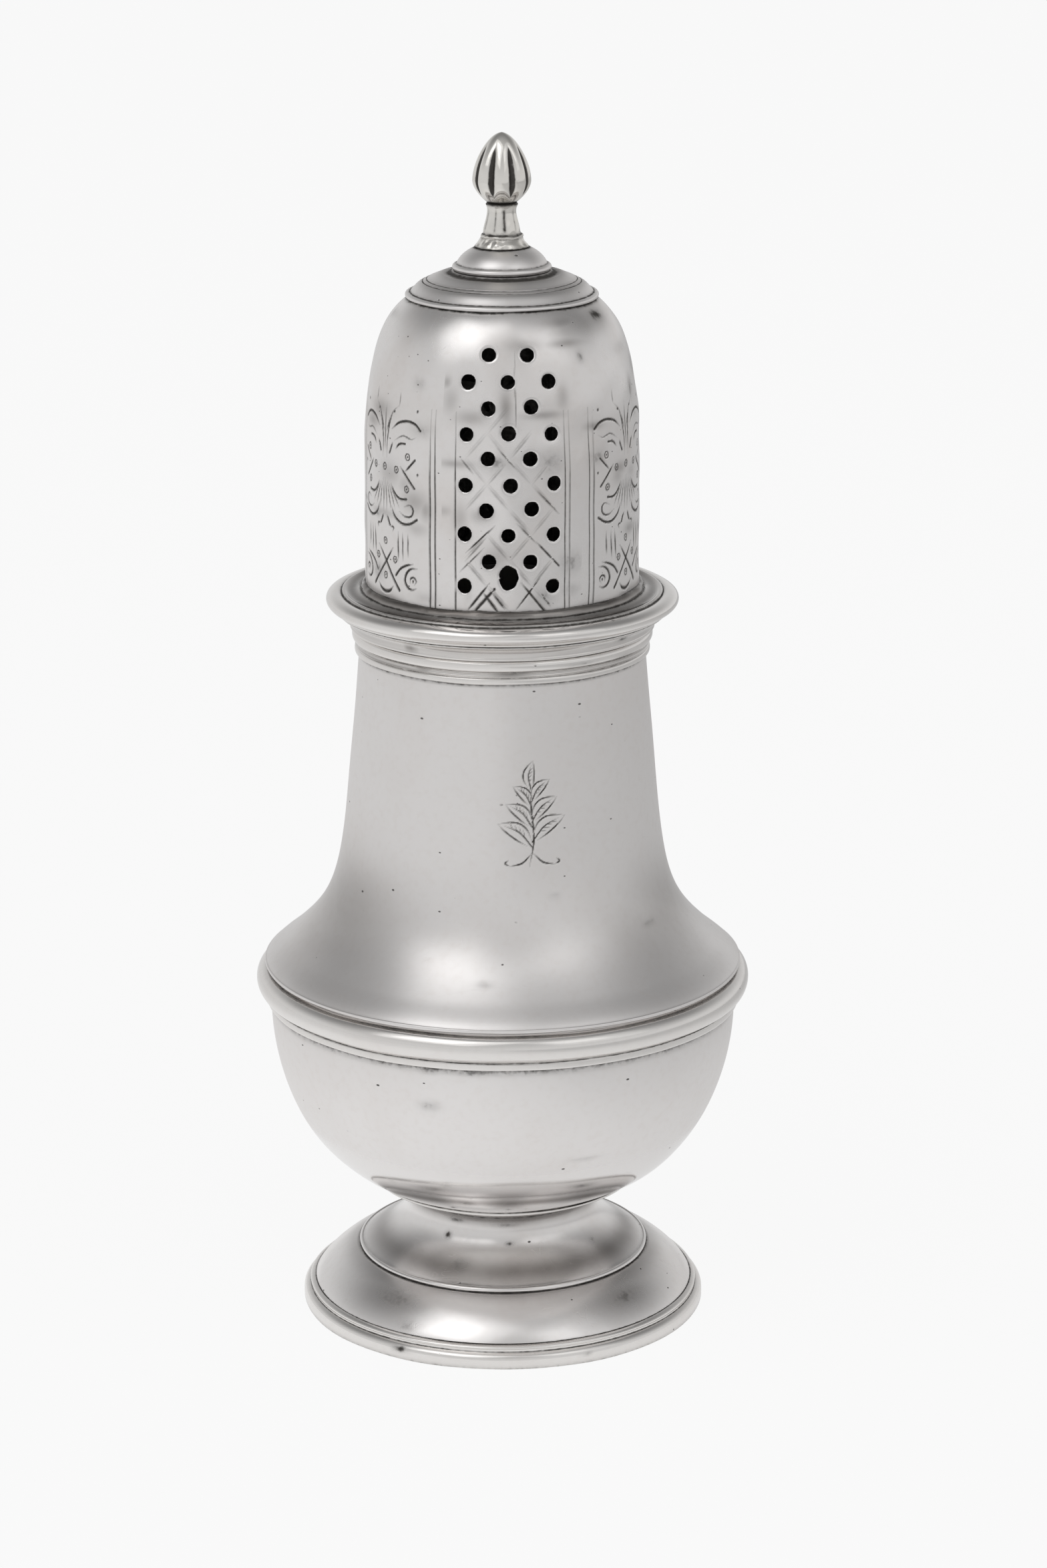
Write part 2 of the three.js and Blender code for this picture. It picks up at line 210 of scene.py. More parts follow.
class Outline:
    """The template of a turned piece: points of radius and height in millimetres, drawn anticlockwise."""

    def __init__(self, *points: Point, ring: bool = True) -> None:
        """Starts the template with its first points.

        Args:
            points: radius and height of each.
            ring: False where the template is a sheet's outer side alone.
        """
        self.points: list[Point] = []
        self.ring = ring
        self.to(*points)

    def to(self, *points: Point) -> Outline:
        """Adds straight stretches to each point in turn."""
        self.points.extend((float(r), float(z)) for r, z in points)
        return self

    def bend(self, leave: Point, arrive: Point, end: Point, steps: int = 16) -> Outline:
        """Adds a smooth stretch to an end point.

        Args:
            leave: the pull on the start of the stretch.
            arrive: the pull on its end.
            end: its last point.
            steps: how many points it gets.

        Returns:
            The outline itself.
        """
        pulls = np.array([self.points[-1], leave, arrive, end])
        for t in np.linspace(0.0, 1.0, steps + 1)[1:]:
            weights = np.array([(1 - t) ** 3, 3 * t * (1 - t) ** 2, 3 * t * t * (1 - t), t**3])
            self.points.append(tuple(weights @ pulls))
        return self

    def bead(self, middle: Point, size: Point, start: float, stop: float, steps: int = 14) -> Outline:
        """Adds an arc of an ellipse.

        Args:
            middle: the centre of the ellipse.
            size: its half width and half height.
            start: the angle that it starts at, in degrees from straight out.
            stop: the angle that it stops at.
            steps: how many steps it takes.

        Returns:
            The outline itself.
        """
        ellipse = Corner(*middle, *size)
        for angle in np.radians(np.linspace(start, stop, steps + 1)):
            self.points.append(ellipse(math.cos(angle), math.sin(angle)))
        return self

    def notch(self, radius: float, depth: float, half_width: float) -> Outline:
        """Cuts a small incised line into the stretch between the last two points.

        Args:
            radius: where the line lies.
            depth: how deep it is cut.
            half_width: half its width along the radius.

        Returns:
            The outline itself.
        """
        (r0, z0), (r1, z1) = self.points[-2:]
        slope = (z1 - z0) / (r1 - r0)
        side = math.copysign(half_width, r1 - r0)
        level = z0 + slope * (radius - r0)
        before = (radius - side, level - slope * side)
        after = (radius + side, level + slope * side)
        self.points[-1:-1] = [before, (radius, level - depth), after]
        return self

    def inset(self, wall: float, start: int, stop: int) -> list[Point]:
        """Offsets a stretch square to itself, to the left.

        Args:
            wall: how far it moves.
            start: the index of its first point.
            stop: the index past its last point.

        Returns:
            The moved points.
        """
        moved = []
        for i in range(start, stop):
            before = np.array(self.points[max(i - 1, 0)])
            after = np.array(self.points[min(i + 1, len(self.points) - 1)])
            along = (after - before) / np.linalg.norm(after - before)
            moved.append((self.points[i][0] - along[1] * wall, self.points[i][1] + along[0] * wall))
        return moved

    def softened(self, radius: float, sharpest: float = 22.0, most: float = 0.42) -> Outline:
        """Rounds each corner that turns more than an angle.

        Args:
            radius: how far from the corner the rounding starts.
            sharpest: the turn in degrees past which a corner is rounded.
            most: the largest share of a stretch that the rounding takes.

        Returns:
            A new outline.
        """
        ring = [np.array(p) for p in self.points]
        on_axis = self.points[0][0] == 0.0
        rounded: list[Point] = []
        for i, here in enumerate(ring):
            back = ring[i - 1] - here
            ahead = ring[(i + 1) % len(ring)] - here
            reach_back, reach_ahead = np.linalg.norm(back), np.linalg.norm(ahead)
            cosine = np.clip(-(back @ ahead) / (reach_back * reach_ahead), -1.0, 1.0)
            at_axis = on_axis and i in (0, len(ring) - 1)
            if at_axis or math.degrees(math.acos(cosine)) < sharpest:
                rounded.append(tuple(here))
                continue
            start = here + back * min(radius / reach_back, most)
            end = here + ahead * min(radius / reach_ahead, most)
            for t in (0.0, 0.33, 0.67, 1.0):
                rounded.append(tuple((1 - t) ** 2 * start + 2 * t * (1 - t) * here + t * t * end))
        return Outline(*rounded)

    @property
    def closed(self) -> bool:
        """Whether it is a ring round the piece's wall, which a sheet or a template on the axis isn't."""
        return self.ring and self.points[0][0] > 0.0

    def refined(self, spacing: Callable[[float, float], float]) -> Outline:
        """Adds points until no stretch is longer than its spacing.

        Args:
            spacing: the longest stretch, by the radius and height of its middle.

        Returns:
            A new outline.
        """
        ends = self.points[1:] + (self.points[:1] if self.closed else [])
        finer: list[Point] = []
        for (r0, z0), (r1, z1) in zip(self.points, ends):
            length = math.hypot(r1 - r0, z1 - z0)
            parts = max(1, math.ceil(length / spacing((r0 + r1) / 2, (z0 + z1) / 2)))
            finer.extend((r0 + (r1 - r0) * k / parts, z0 + (z1 - z0) * k / parts) for k in range(parts))
        if not self.closed:
            finer.append(self.points[-1])
        return Outline(*finer, ring=self.ring)


@dataclass(frozen=True)
class Sector:
    """A stretch of the turn, in degrees, and how many steps it is spun in."""

    angle: float
    steps: int


@dataclass(frozen=True)
class HandWork:
    """The slight unevenness of hand-raised metal, as a sum of smooth waves through space."""

    amount: float = 0.035
    wavelength: float = 17.0
    waves: int = 14
    seed: int = 7

    def offset(self, spots: np.ndarray) -> np.ndarray:
        """Works out how far the surface lies proud.

        Args:
            spots: places on it.

        Returns:
            The offset at each, in millimetres.
        """
        dice = np.random.default_rng(self.seed)
        total = np.zeros(len(spots))
        for _ in range(self.waves):
            direction = dice.normal(size=3)
            direction /= np.linalg.norm(direction)
            length = self.wavelength * dice.uniform(0.6, 1.8)
            total += np.sin(spots @ direction * (2 * math.pi / length) + dice.uniform(0, 2 * math.pi))
        return total * self.amount / math.sqrt(self.waves / 2)


def placed(name: str, data: bpy.types.ID) -> bpy.types.Object:
    """Makes an object at the origin of the scene.

    Args:
        name: its name.
        data: its mesh, light or camera.

    Returns:
        The object.
    """
    made = bpy.data.objects.new(name, data)
    bpy.context.scene.collection.objects.link(made)
    return made


class Surface:
    """A piece's mesh while it is shaped: a bmesh in metres, then arrays in millimetres, then an object."""

    def __init__(self, name: str, outline: Outline, sectors: Sequence[Sector], start: float = 0.0) -> None:
        """Spins an outline into a mesh.

        Args:
            name: the piece's name.
            outline: its template.
            sectors: the stretches of the turn.
            start: the angle that the turn starts at, in degrees from the front.
        """
        self.name = name
        self.bm = bmesh.new()
        for sector in sectors:
            self._spin(outline, sector, start)
            start += sector.angle
        bmesh.ops.remove_doubles(self.bm, verts=self.bm.verts, dist=MERGE_DISTANCE)
        bmesh.ops.recalc_face_normals(self.bm, faces=self.bm.faces)
        for face in self.bm.faces:
            face.smooth = True
        if abs(sum(sector.angle for sector in sectors) - 360.0) > 0.01:
            self._open_sheet()

    def _spin(self, outline: Outline, sector: Sector, start: float) -> None:
        """Spins one stretch of the turn: a short part of it, which is then doubled until it is whole.

        Args:
            outline: the template.
            sector: the stretch.
            start: the angle that it starts at, in degrees from the front.
        """
        sheet = bmesh.new()
        angle = math.radians(start) - math.pi / 2
        cosine, sine = math.cos(angle), math.sin(angle)
        spots = [sheet.verts.new((r * MM * cosine, r * MM * sine, z * MM)) for r, z in outline.points]
        edges = [sheet.edges.new(pair) for pair in zip(spots, spots[1:])]
        if outline.closed:
            edges.append(sheet.edges.new((spots[-1], spots[0])))
        short = math.radians(sector.angle) / 2**DOUBLINGS
        bmesh.ops.spin(
            sheet,
            geom=[*spots, *edges],
            cent=(0.0, 0.0, 0.0),
            axis=(0.0, 0.0, 1.0),
            dvec=(0.0, 0.0, 0.0),
            angle=short,
            steps=sector.steps // 2**DOUBLINGS,
            use_merge=False,
            use_normal_flip=False,
            use_duplicate=False,
        )
        for doubling in range(DOUBLINGS):
            copied = bmesh.ops.duplicate(sheet, geom=[*sheet.verts, *sheet.edges, *sheet.faces])["geom"]
            bmesh.ops.rotate(
                sheet,
                cent=(0.0, 0.0, 0.0),
                matrix=Matrix.Rotation(short * 2**doubling, 3, "Z"),
                verts=[part for part in copied if isinstance(part, bmesh.types.BMVert)],
            )
        spun = bpy.data.meshes.new("spun")
        sheet.to_mesh(spun)
        sheet.free()
        self.bm.from_mesh(spun)
        bpy.data.meshes.remove(spun)

    def _open_sheet(self) -> None:
        """Turns an open sheet's faces away from the axis, and keeps its outer edges sharp."""
        self.bm.faces.ensure_lookup_table()
        sample = self.bm.faces[len(self.bm.faces) // 2]
        sample.normal_update()
        middle = sample.calc_center_median()
        if sample.normal.x * middle.x + sample.normal.y * middle.y < 0:
            bmesh.ops.reverse_faces(self.bm, faces=self.bm.faces)
        for edge in self.bm.edges:
            edge.smooth = not edge.is_boundary

    def finish(
        self, marks: Iterable[Mark], work: HandWork, shape: Callable[[Relief], None] | None = None
    ) -> bpy.types.Object:
        """Makes the mesh an object, works its surface and paints its masks.

        Args:
            marks: its crevices and patches of tarnish and painted shade.
            work: the unevenness of the metal.
            shape: a last shaping of the surface, such as engraving.

        Returns:
            The object, at the origin.
        """
        mesh = bpy.data.meshes.new(self.name)
        self.bm.to_mesh(mesh)
        self.bm.free()
        relief = Relief(mesh)
        relief.raise_by(work.offset(relief.spots))
        if shape is not None:
            shape(relief)
        for mark in marks:
            mark.mark(relief)
        relief.store()
        return placed(self.name, mesh)


class Relief:
    """A mesh as arrays: its points and normals in millimetres, and the masks that the silver reads."""

    def __init__(self, mesh: bpy.types.Mesh) -> None:
        """Reads a mesh.

        Args:
            mesh: the mesh, in metres.
        """
        self.mesh = mesh
        count = len(mesh.vertices)
        flat = np.zeros(count * 3)
        mesh.vertices.foreach_get("co", flat)
        self.spots = flat.reshape(-1, 3) / MM
        mesh.vertex_normals.foreach_get("vector", flat)
        self.normals = flat.reshape(-1, 3).copy()
        self.tarnish_and_shade, self.film_and_shade, self.cut, self.inner, self.polish = np.zeros((len(MASKS), count))

    @property
    def radius(self) -> np.ndarray:
        """Distance of each point from the axis."""
        return np.hypot(self.spots[:, 0], self.spots[:, 1])

    @property
    def angle(self) -> np.ndarray:
        """Angle of each point in degrees, from the front towards the right."""
        return np.degrees(np.arctan2(self.spots[:, 0], -self.spots[:, 1]))

    def swing(self, middle: float) -> np.ndarray:
        """Angle of each point from a middle, the short way round, in degrees."""
        return (self.angle - middle + 180.0) % 360.0 - 180.0

    def raise_by(self, offset: np.ndarray) -> None:
        """Moves the points along their normals by an offset in millimetres."""
        self.spots += self.normals * offset[:, None]

    def darken(self, amount: np.ndarray, smooth: bool = False) -> None:
        """Raises the smooth film of tarnish and painted shade, or else the ragged tarnish and painted shade,
        to an amount.
        """
        mask = "film_and_shade" if smooth else "tarnish_and_shade"
        setattr(self, mask, np.maximum(getattr(self, mask), amount))

    def mark_inside(self, facing: float = -0.25) -> None:
        """Marks the faces of a shell that look at the axis, which the silver paints darker as painted shade.

        Args:
            facing: how far a normal has to turn inwards.
        """
        outward = self.normals[:, 0] * self.spots[:, 0] + self.normals[:, 1] * self.spots[:, 1]
        self.inner = np.where(outward / self.radius.clip(1e-6) < facing, 1.0, 0.0)

    def store(self) -> None:
        """Writes the points and masks back to the mesh."""
        self.mesh.vertices.foreach_set("co", (self.spots * MM).ravel())
        for name in MASKS:
            layer = self.mesh.attributes.new(name, "FLOAT", "POINT")
            layer.data.foreach_set("value", getattr(self, name).astype(np.float32))
        self.mesh.update()


@dataclass(frozen=True)
class Stroke:
    """One cut of the graver through points across and up the surface, in millimetres."""

    points: tuple[Point, ...]
    width: float = 0.4
    depth: float = 0.1
    taper: Taper = Taper.BOTH

    def mirrored(self) -> Stroke:
        """The same cut on the other side of the middle line."""
        return replace(self, points=tuple((-x, y) for x, y in self.points))

    def moved(self, across: float, up: float) -> Stroke:
        """The same cut in another place."""
        return replace(self, points=tuple((x + across, y + up) for x, y in self.points))

    def samples(self, pitch: float = 0.07, run_out: float = 0.35, thinnest: float = 0.12) -> np.ndarray:
        """Samples the cut closely along its length.

        Args:
            pitch: how far apart the samples are.
            run_out: the share of the cut in which a thin end runs out.
            thinnest: the share of the run-out at which a thin end stops.

        Returns:
            Rows of across, up, half width and depth.
        """
        path = self._path(pitch)
        share = np.linspace(0.0, 1.0, len(path))
        swell = np.ones(len(path))
        for end, reach in ((Taper.START, share), (Taper.END, 1.0 - share)):
            if self.taper in (end, Taper.BOTH):
                swell *= np.clip(reach / run_out, thinnest, 1.0) ** 0.7
        return np.column_stack([path, self.width / 2 * (0.45 + 0.55 * swell), self.depth * swell])

    def _path(self, pitch: float) -> np.ndarray:
        """Draws a smooth curve through the stroke's points.

        Args:
            pitch: how far apart its points are.

        Returns:
            The points.
        """
        marks = np.array(self.points)
        ends = np.vstack([2 * marks[0] - marks[1], marks, 2 * marks[-1] - marks[-2]])
        pieces = []
        for i in range(len(marks) - 1):
            p0, p1, p2, p3 = ends[i : i + 4]
            count = max(2, math.ceil(np.linalg.norm(p2 - p1) / pitch))
            t = np.linspace(0.0, 1.0, count, endpoint=False)[:, None]
            rest = (2 * p0 - 5 * p1 + 4 * p2 - p3) * t**2 + (3 * p1 - p0 - 3 * p2 + p3) * t**3
            pieces.append(0.5 * (2 * p1 + (p2 - p0) * t + rest))
        return np.vstack([*pieces, marks[-1:]])


class Engraving:
    """A set of cuts on one patch of a surface."""

    def __init__(self, strokes: Iterable[Stroke]) -> None:
        """Samples every stroke and files the samples by place.

        Args:
            strokes: the cuts.
        """
        self.samples = np.vstack([stroke.samples() for stroke in strokes])
        self.reach = float(self.samples[:, 2].max())
        self.tree = kdtree.KDTree(len(self.samples))
        for i, (across, up, _, _) in enumerate(self.samples):
            self.tree.insert((across, up, 0.0), i)
        self.tree.balance()

    def cut(
        self, relief: Relief, across: np.ndarray, up: np.ndarray, allowed: np.ndarray, black: float = 0.08
    ) -> None:
        """Cuts the strokes into a relief.

        Args:
            relief: the surface.
            across: each point's place across the patch.
            up: each point's place up the patch.
            allowed: which points may be cut.
            black: the depth from which a cut is as dark as it gets.
        """
        low = self.samples[:, :2].min(axis=0) - self.reach
        high = self.samples[:, :2].max(axis=0) + self.reach
        inside = (across > low[0]) & (across < high[0]) & (up > low[1]) & (up < high[1]) & allowed
        depth = np.zeros(len(across))
        for i in np.flatnonzero(inside):
            _, index, distance = self.tree.find((across[i], up[i], 0.0))
            half_width, deepest = self.samples[index, 2:]
            share = distance / half_width
            if share < 1.0:
                depth[i] = -deepest * (1.0 - share * share)
                relief.cut[i] = max(relief.cut[i], (1.0 - share**3) * min(1.0, deepest / black))
        relief.raise_by(depth)


class Wire:
    """One output of a shader node, on which arithmetic adds Math nodes."""

    def __init__(self, bench: ShaderBench, socket: bpy.types.NodeSocket) -> None:
        """Wraps a socket of a bench's tree."""
        self.bench = bench
        self.socket = socket

    def _math(self, operation: str, *values: Wire | float, clamp: bool = False) -> Wire:
        """Adds one Math node."""
        settings = {"operation": operation, "use_clamp": clamp}
        return self.bench.node("Math", settings, dict(enumerate(values)))[0]

    def __add__(self, other: Wire | float) -> Wire:
        """Sum."""
        return self._math("ADD", self, other)

    def __radd__(self, other: float) -> Wire:
        """Sum with a number first."""
        return self._math("ADD", other, self)

    def __sub__(self, other: Wire | float) -> Wire:
        """Difference."""
        return self._math("SUBTRACT", self, other)

    def __rsub__(self, other: float) -> Wire:
        """Difference with a number first."""
        return self._math("SUBTRACT", other, self)

    def __mul__(self, other: Wire | float) -> Wire:
        """Product."""
        return self._math("MULTIPLY", self, other)

    def __rmul__(self, other: float) -> Wire:
        """Product with a number first."""
        return self._math("MULTIPLY", other, self)

    def __truediv__(self, other: Wire | float) -> Wire:
        """Quotient."""
        return self._math("DIVIDE", self, other)

    def __abs__(self) -> Wire:
        """Size without its sign."""
        return self._math("ABSOLUTE", self)

    def most(self, other: Wire | float) -> Wire:
        """The larger of two values."""
        return self._math("MAXIMUM", self, other)

    def clamped(self) -> Wire:
        """The value held between 0 and 1."""
        return self._math("ADD", self, 0.0, clamp=True)

    def step(self, low: float, high: float) -> Wire:
        """Adds a smooth step from 0 to 1.

        Args:
            low: the value where it is 0, which may be the larger of the two.
            high: the value where it is 1.

        Returns:
            The stepped value.
        """
        sockets = {"Value": self, "From Min": min(low, high), "From Max": max(low, high)}
        sockets["To Min"], sockets["To Max"] = (1.0, 0.0) if low > high else (0.0, 1.0)
        return self.bench.node("MapRange", {"interpolation_type": "SMOOTHSTEP"}, sockets)["Result"]


@dataclass(frozen=True)
class Fitted:
    """A node in its place, whose outputs are read by name or number."""

    bench: ShaderBench
    node: bpy.types.Node

    def __getitem__(self, output: str | int) -> Wire:
        """One output."""
        return Wire(self.bench, self.node.outputs[output])


class ShaderBench:
    """A node tree and the one method that adds its nodes."""

    def __init__(self, tree: bpy.types.NodeTree) -> None:
        """Empties a tree and takes it over."""
        self.tree = tree
        tree.nodes.clear()

    def node(self, kind: str, settings: dict[str, object], inputs: dict[str | int, object]) -> Fitted:
        """Adds a node.

        Args:
            kind: its type, without the common start of the name.
            settings: its properties, which are set first.
            inputs: the value or link of each socket, by name or number.

        Returns:
            The node.
        """
        node = self.tree.nodes.new("ShaderNode" + kind)
        for name, value in settings.items():
            setattr(node, name, value)
        for name, value in inputs.items():
            if isinstance(value, Wire):
                self.tree.links.new(value.socket, node.inputs[name])
            else:
                node.inputs[name].default_value = value
        return Fitted(self, node)

    def place(self, output: str = "Object") -> Wire:
        """Coordinates of the surface."""
        return self.node("TexCoord", {}, {})[output]

    def vector(self, operation: str, first: Wire, second: Sequence[float] | float) -> Wire:
        """Adds one Vector Math node.

        Args:
            operation: what it works out.
            first: its first vector.
            second: its second vector, or the factor of a scaling.

        Returns:
            The vector.
        """
        socket = "Scale" if operation == "SCALE" else 1
        return self.node("VectorMath", {"operation": operation}, {0: first, socket: second})[0]

    def noise(self, vector: Wire, scale: float, detail: float = 2.0, distortion: float = 0.0) -> Wire:
        """Smooth noise between 0 and 1."""
        sockets = {"Vector": vector, "Scale": scale, "Detail": detail, "Distortion": distortion}
        return self.node("TexNoise", {}, sockets)["Fac"]

    def stretched(self, vector: Wire, scale: tuple[float, float, float], turn: float = 0.0) -> Wire:
        """Coordinates scaled by a factor for each axis, after a turn about the vertical."""
        sockets = {"Vector": vector, "Scale": scale, "Rotation": (0.0, turn, 0.0)}
        return self.node("Mapping", {"vector_type": "TEXTURE"}, sockets)[0]

    def mix(self, factor: Wire | float, first: object, second: object) -> Wire:
        """A colour between two colours."""
        return self.node("Mix", {"data_type": "RGBA"}, {0: factor, 6: first, 7: second})[2]

    def mask(self, name: str) -> Wire:
        """A float attribute of the mesh."""
        return self.node("Attribute", {"attribute_name": name}, {})["Fac"]


@dataclass(frozen=True)
class SilverFinish:
    """A worn silver surface: its colours, gloss, and the size and amount of its marks in millimetres."""

    name: str
    slot: str
    silver: Colour = (0.84, 0.82, 0.81, 1.0)
    warm: Colour = (0.77, 0.73, 0.705, 1.0)
    # The film and tarnish colours darken the silver both for tarnish and for painted shade and dark
    # reflections.
    film_and_shade: Colour = (0.16, 0.145, 0.135, 1.0)
    tarnish_and_shade: Colour = (0.055, 0.05, 0.045, 1.0)
    # The inside colour is painted shade for the faces that look at the axis.
    inside: Colour = (0.30, 0.28, 0.26, 1.0)
    roughness: float = 0.34
    roughness_spread: float = 0.1
    hairlines: float = 0.7
    ring_lines: float = 0.45
    pits: float = 0.5
    planish: float = 0.006
    clouding: float = 0.22
    pit_depth: float = 0.05
    line_depth: float = 0.004
    speckle_depth: float = 0.0012
    ring_depth: float = 0.003
    speckle_warmth: float = 0.25
    inside_shade_share: float = 0.8
    pit_darkness: float = 0.85
    spot_darkness: float = 0.45
    speckle_roughness: float = 0.04
    hairline_roughness: float = 0.06
    polish_share: float = 0.7
    dark_roughness: float = 0.3
    inside_roughness: float = 0.2
    dark_metal_loss: float = 0.55
    scratch_ways: tuple[Point, ...] = ((0.4, 5.0), (-0.9, 7.0), (1.5, 9.0))

    def material(self) -> bpy.types.Material:
        """Builds the material.

        Returns:
            The material, which reads the masks of the mesh.
        """
        made = bpy.data.materials.new(self.name)
        made.use_nodes = True
        bench = ShaderBench(made.node_tree)
        spot = bench.vector("SCALE", bench.place(), 1.0 / MM)
        cloud = bench.noise(spot, 0.055, 4.0, 0.6)
        speckle = bench.noise(spot, 0.9, 3.0)
        hairline = self._hairlines(bench, spot)
        pit = self._pits(bench, spot, cloud)
        dark = self._darkness(bench, spot, pit)
        inner = bench.mask("inner")
        polish = bench.mask("polish")
        warmth = cloud.step(0.42, 0.68) * self.clouding + speckle.step(0.45, 0.75) * self.speckle_warmth
        body = bench.mix(warmth * (1.0 - polish), self.silver, self.warm)
        filmed_and_shaded = bench.mix(bench.mask("film_and_shade") * (0.6 + 0.8 * cloud), body, self.film_and_shade)
        stained_and_shaded = bench.mix(dark, filmed_and_shaded, self.tarnish_and_shade)
        # Faces that look at the axis take the dark inside colour: painted shade inside the hollow pieces.
        colour = bench.mix(inner * self.inside_shade_share, stained_and_shaded, self.inside)
        rough = self.roughness + (cloud - 0.5) * self.roughness_spread
        rough = rough + speckle * self.speckle_roughness + hairline * self.hairline_roughness
        polished = rough * (1.0 - polish * self.polish_share)
        roughness = (polished + dark * self.dark_roughness + inner * self.inside_roughness).clamped()
        height = bench.noise(spot, 0.11, 2.0) * self.planish - hairline * self.line_depth
        height = height - pit * self.pit_depth - speckle * self.speckle_depth
        height = height + self._ring_lines(bench, spot) * self.ring_depth
        bump = bench.node("Bump", {}, {"Strength": 1.0, "Distance": MM, "Height": height})
        metallic = (1.0 - dark * self.dark_metal_loss).clamped()
        sockets = {"Base Color": colour, "Roughness": roughness, "Metallic": metallic, "Normal": bump[0]}
        bench.node("OutputMaterial", {}, {"Surface": bench.node("BsdfPrincipled", {}, sockets)[0]})
        return made

    def _darkness(self, bench: ShaderBench, spot: Wire, pit: Wire) -> Wire:
        """Gathers everything that darkens the silver: ragged tarnish and painted shade with spots, blackened
        cuts and pits.

        Args:
            bench: the material's tree.
            spot: the place in millimetres.
            pit: the mask of the pits.

        Returns:
            How dark the surface is.
        """
        ragged = bench.noise(spot, 1.1, 4.0, 0.4)
        mask = bench.mask("tarnish_and_shade")
        spotted = (mask + (ragged - 0.5) * 0.9).step(0.3, 0.85)
        gathered = (mask * (0.25 + 0.75 * ragged) + spotted * self.spot_darkness).clamped()
        blackened = bench.mask("cut") * (0.75 + 0.6 * ragged)
        return gathered.most(blackened).most(pit * self.pit_darkness).clamped()

    def _hairlines(self, bench: ShaderBench, spot: Wire) -> Wire:
        """Draws fine curved scratches: bands where stretched noise crosses its middle, broken by more noise.

        Args:
            bench: the material's tree.
            spot: the place in millimetres.

        Returns:
            The mask of the scratches.
        """
        total: Wire | None = None
        for turn, stretch in self.scratch_ways:
            lengthened = bench.stretched(spot, (1.0, 1.0, stretch), turn)
            band = abs(bench.noise(lengthened, 0.5, 1.0, 0.3) - 0.5).step(0.012, 0.0)
            line = band * bench.noise(lengthened, 0.22, 1.0).step(0.56, 0.66)
            total = line if total is None else total.most(line)
        return total * self.hairlines

    def _pits(self, bench: ShaderBench, spot: Wire, cloud: Wire) -> Wire:
        """Draws small dark pits: the middles of a few cells, more of them where the metal is clouded.

        Args:
            bench: the material's tree.
            spot: the place in millimetres.
            cloud: the clouding.

        Returns:
            The mask of the pits.
        """
        flat = bench.vector("MULTIPLY", spot, (1.0, 1.0, 1.7))
        closeness = 0.38 + 0.11 * self.pits
        sockets = {"Vector": flat, "Scale": closeness, "Randomness": 1.0}
        cells = bench.node("TexVoronoi", {"feature": "F1"}, sockets)
        draws = bench.node("SeparateColor", {}, {0: cells["Color"]})
        chosen = (draws[0] + cloud * 0.5 + self.pits * 0.07).step(1.18, 1.22)
        size = draws[1] * 0.1 + 0.055
        return (cells["Distance"] / size).step(1.0, 0.5) * chosen

    def _ring_lines(self, bench: ShaderBench, spot: Wire) -> Wire:
        """Polishing lines that run round a turned moulding."""
        return bench.noise(bench.vector("MULTIPLY", spot, (0.05, 0.05, 5.0)), 1.0, 3.0) * self.ring_lines


SATIN = SilverFinish("satin_silver", "satin_silver")
# A near-black silver: painted shade for the dome sheet's inner side and the walls of its holes.
SHADED_INSIDE = replace(SATIN, name="painted_shade_inside_silver", silver=(0.1, 0.095, 0.09, 1.0), roughness=0.5)
FOOT_SHEET = replace(SATIN, name="foot_silver", roughness=0.21, clouding=0.4, pits=0.8)
SHEET = SilverFinish(
    "worn_sheet_silver",
    "satin_silver",
    roughness=0.27,
    roughness_spread=0.16,
    hairlines=0.8,
    pits=2.7,
    planish=0.014,
    clouding=0.55,
)
BRIGHT = SilverFinish(
    "bright_silver",
    "bright_silver",
    silver=(0.83, 0.81, 0.79, 1.0),
    roughness=0.1,
    roughness_spread=0.08,
    hairlines=0.4,
    ring_lines=1.0,
    pits=0.35,
    planish=0.003,
)
TORUS = replace(BRIGHT, name="soft_bright_silver", roughness=0.17, clouding=0.3)
CAST = SilverFinish(
    "cast_silver",
    "cast_silver",
    silver=(0.83, 0.81, 0.775, 1.0),
    warm=(0.80, 0.76, 0.69, 1.0),
    roughness=0.11,
    roughness_spread=0.08,
    clouding=0.4,
)


class Dresser:
    """Gives finished pieces their material and body, and keeps one material for each finish."""

    def __init__(self) -> None:
        """Starts with no materials."""
        self.made: dict[str, bpy.types.Material] = {}

    def dress(
        self, piece: bpy.types.Object, finishes: Sequence[SilverFinish], body: Body, node: str
    ) -> None:
        """Finishes one piece and reports it.

        Args:
            piece: the object.
            finishes: what its surfaces are, the one that shows first.
            body: the body that it rides on.
            node: the node of the frame that it stands for.
        """
        for finish in finishes:
            if finish.name not in self.made:
                self.made[finish.name] = finish.material()
            piece.data.materials.append(self.made[finish.name])
        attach(piece, body.value)
        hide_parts(node)
        LOG.info("%s: %d faces, rides on %s", piece.name, len(piece.data.polygons), body.value)


def near_crevices(marks: Sequence[Mark], widest: float) -> Callable[[float, float], float]:
    """A spacing for outlines that closes up round crevices.

    Args:
        marks: the wear and painted shade of the piece, whose crevices need the outline's points close
            together.
        widest: the spacing far from them.

    Returns:
        A function of radius and height that gives the spacing there.
    """
    rings = [mark for mark in marks if isinstance(mark, Crevice)]

    def spacing(radius: float, height: float) -> float:
        """Spacing at one point of the outline."""
        near = (0.5 * ring.spread + 0.4 * ring.distance(radius, height) for ring in rings)
        return min(widest, float(min(near, default=widest)))

    return spacing


def ease(values: np.ndarray, low: float, high: float) -> np.ndarray:
    """A smooth step from 0 at low to 1 at high."""
    share = np.clip((values - low) / (high - low), 0.0, 1.0)
    return share * share * (3.0 - 2.0 * share)


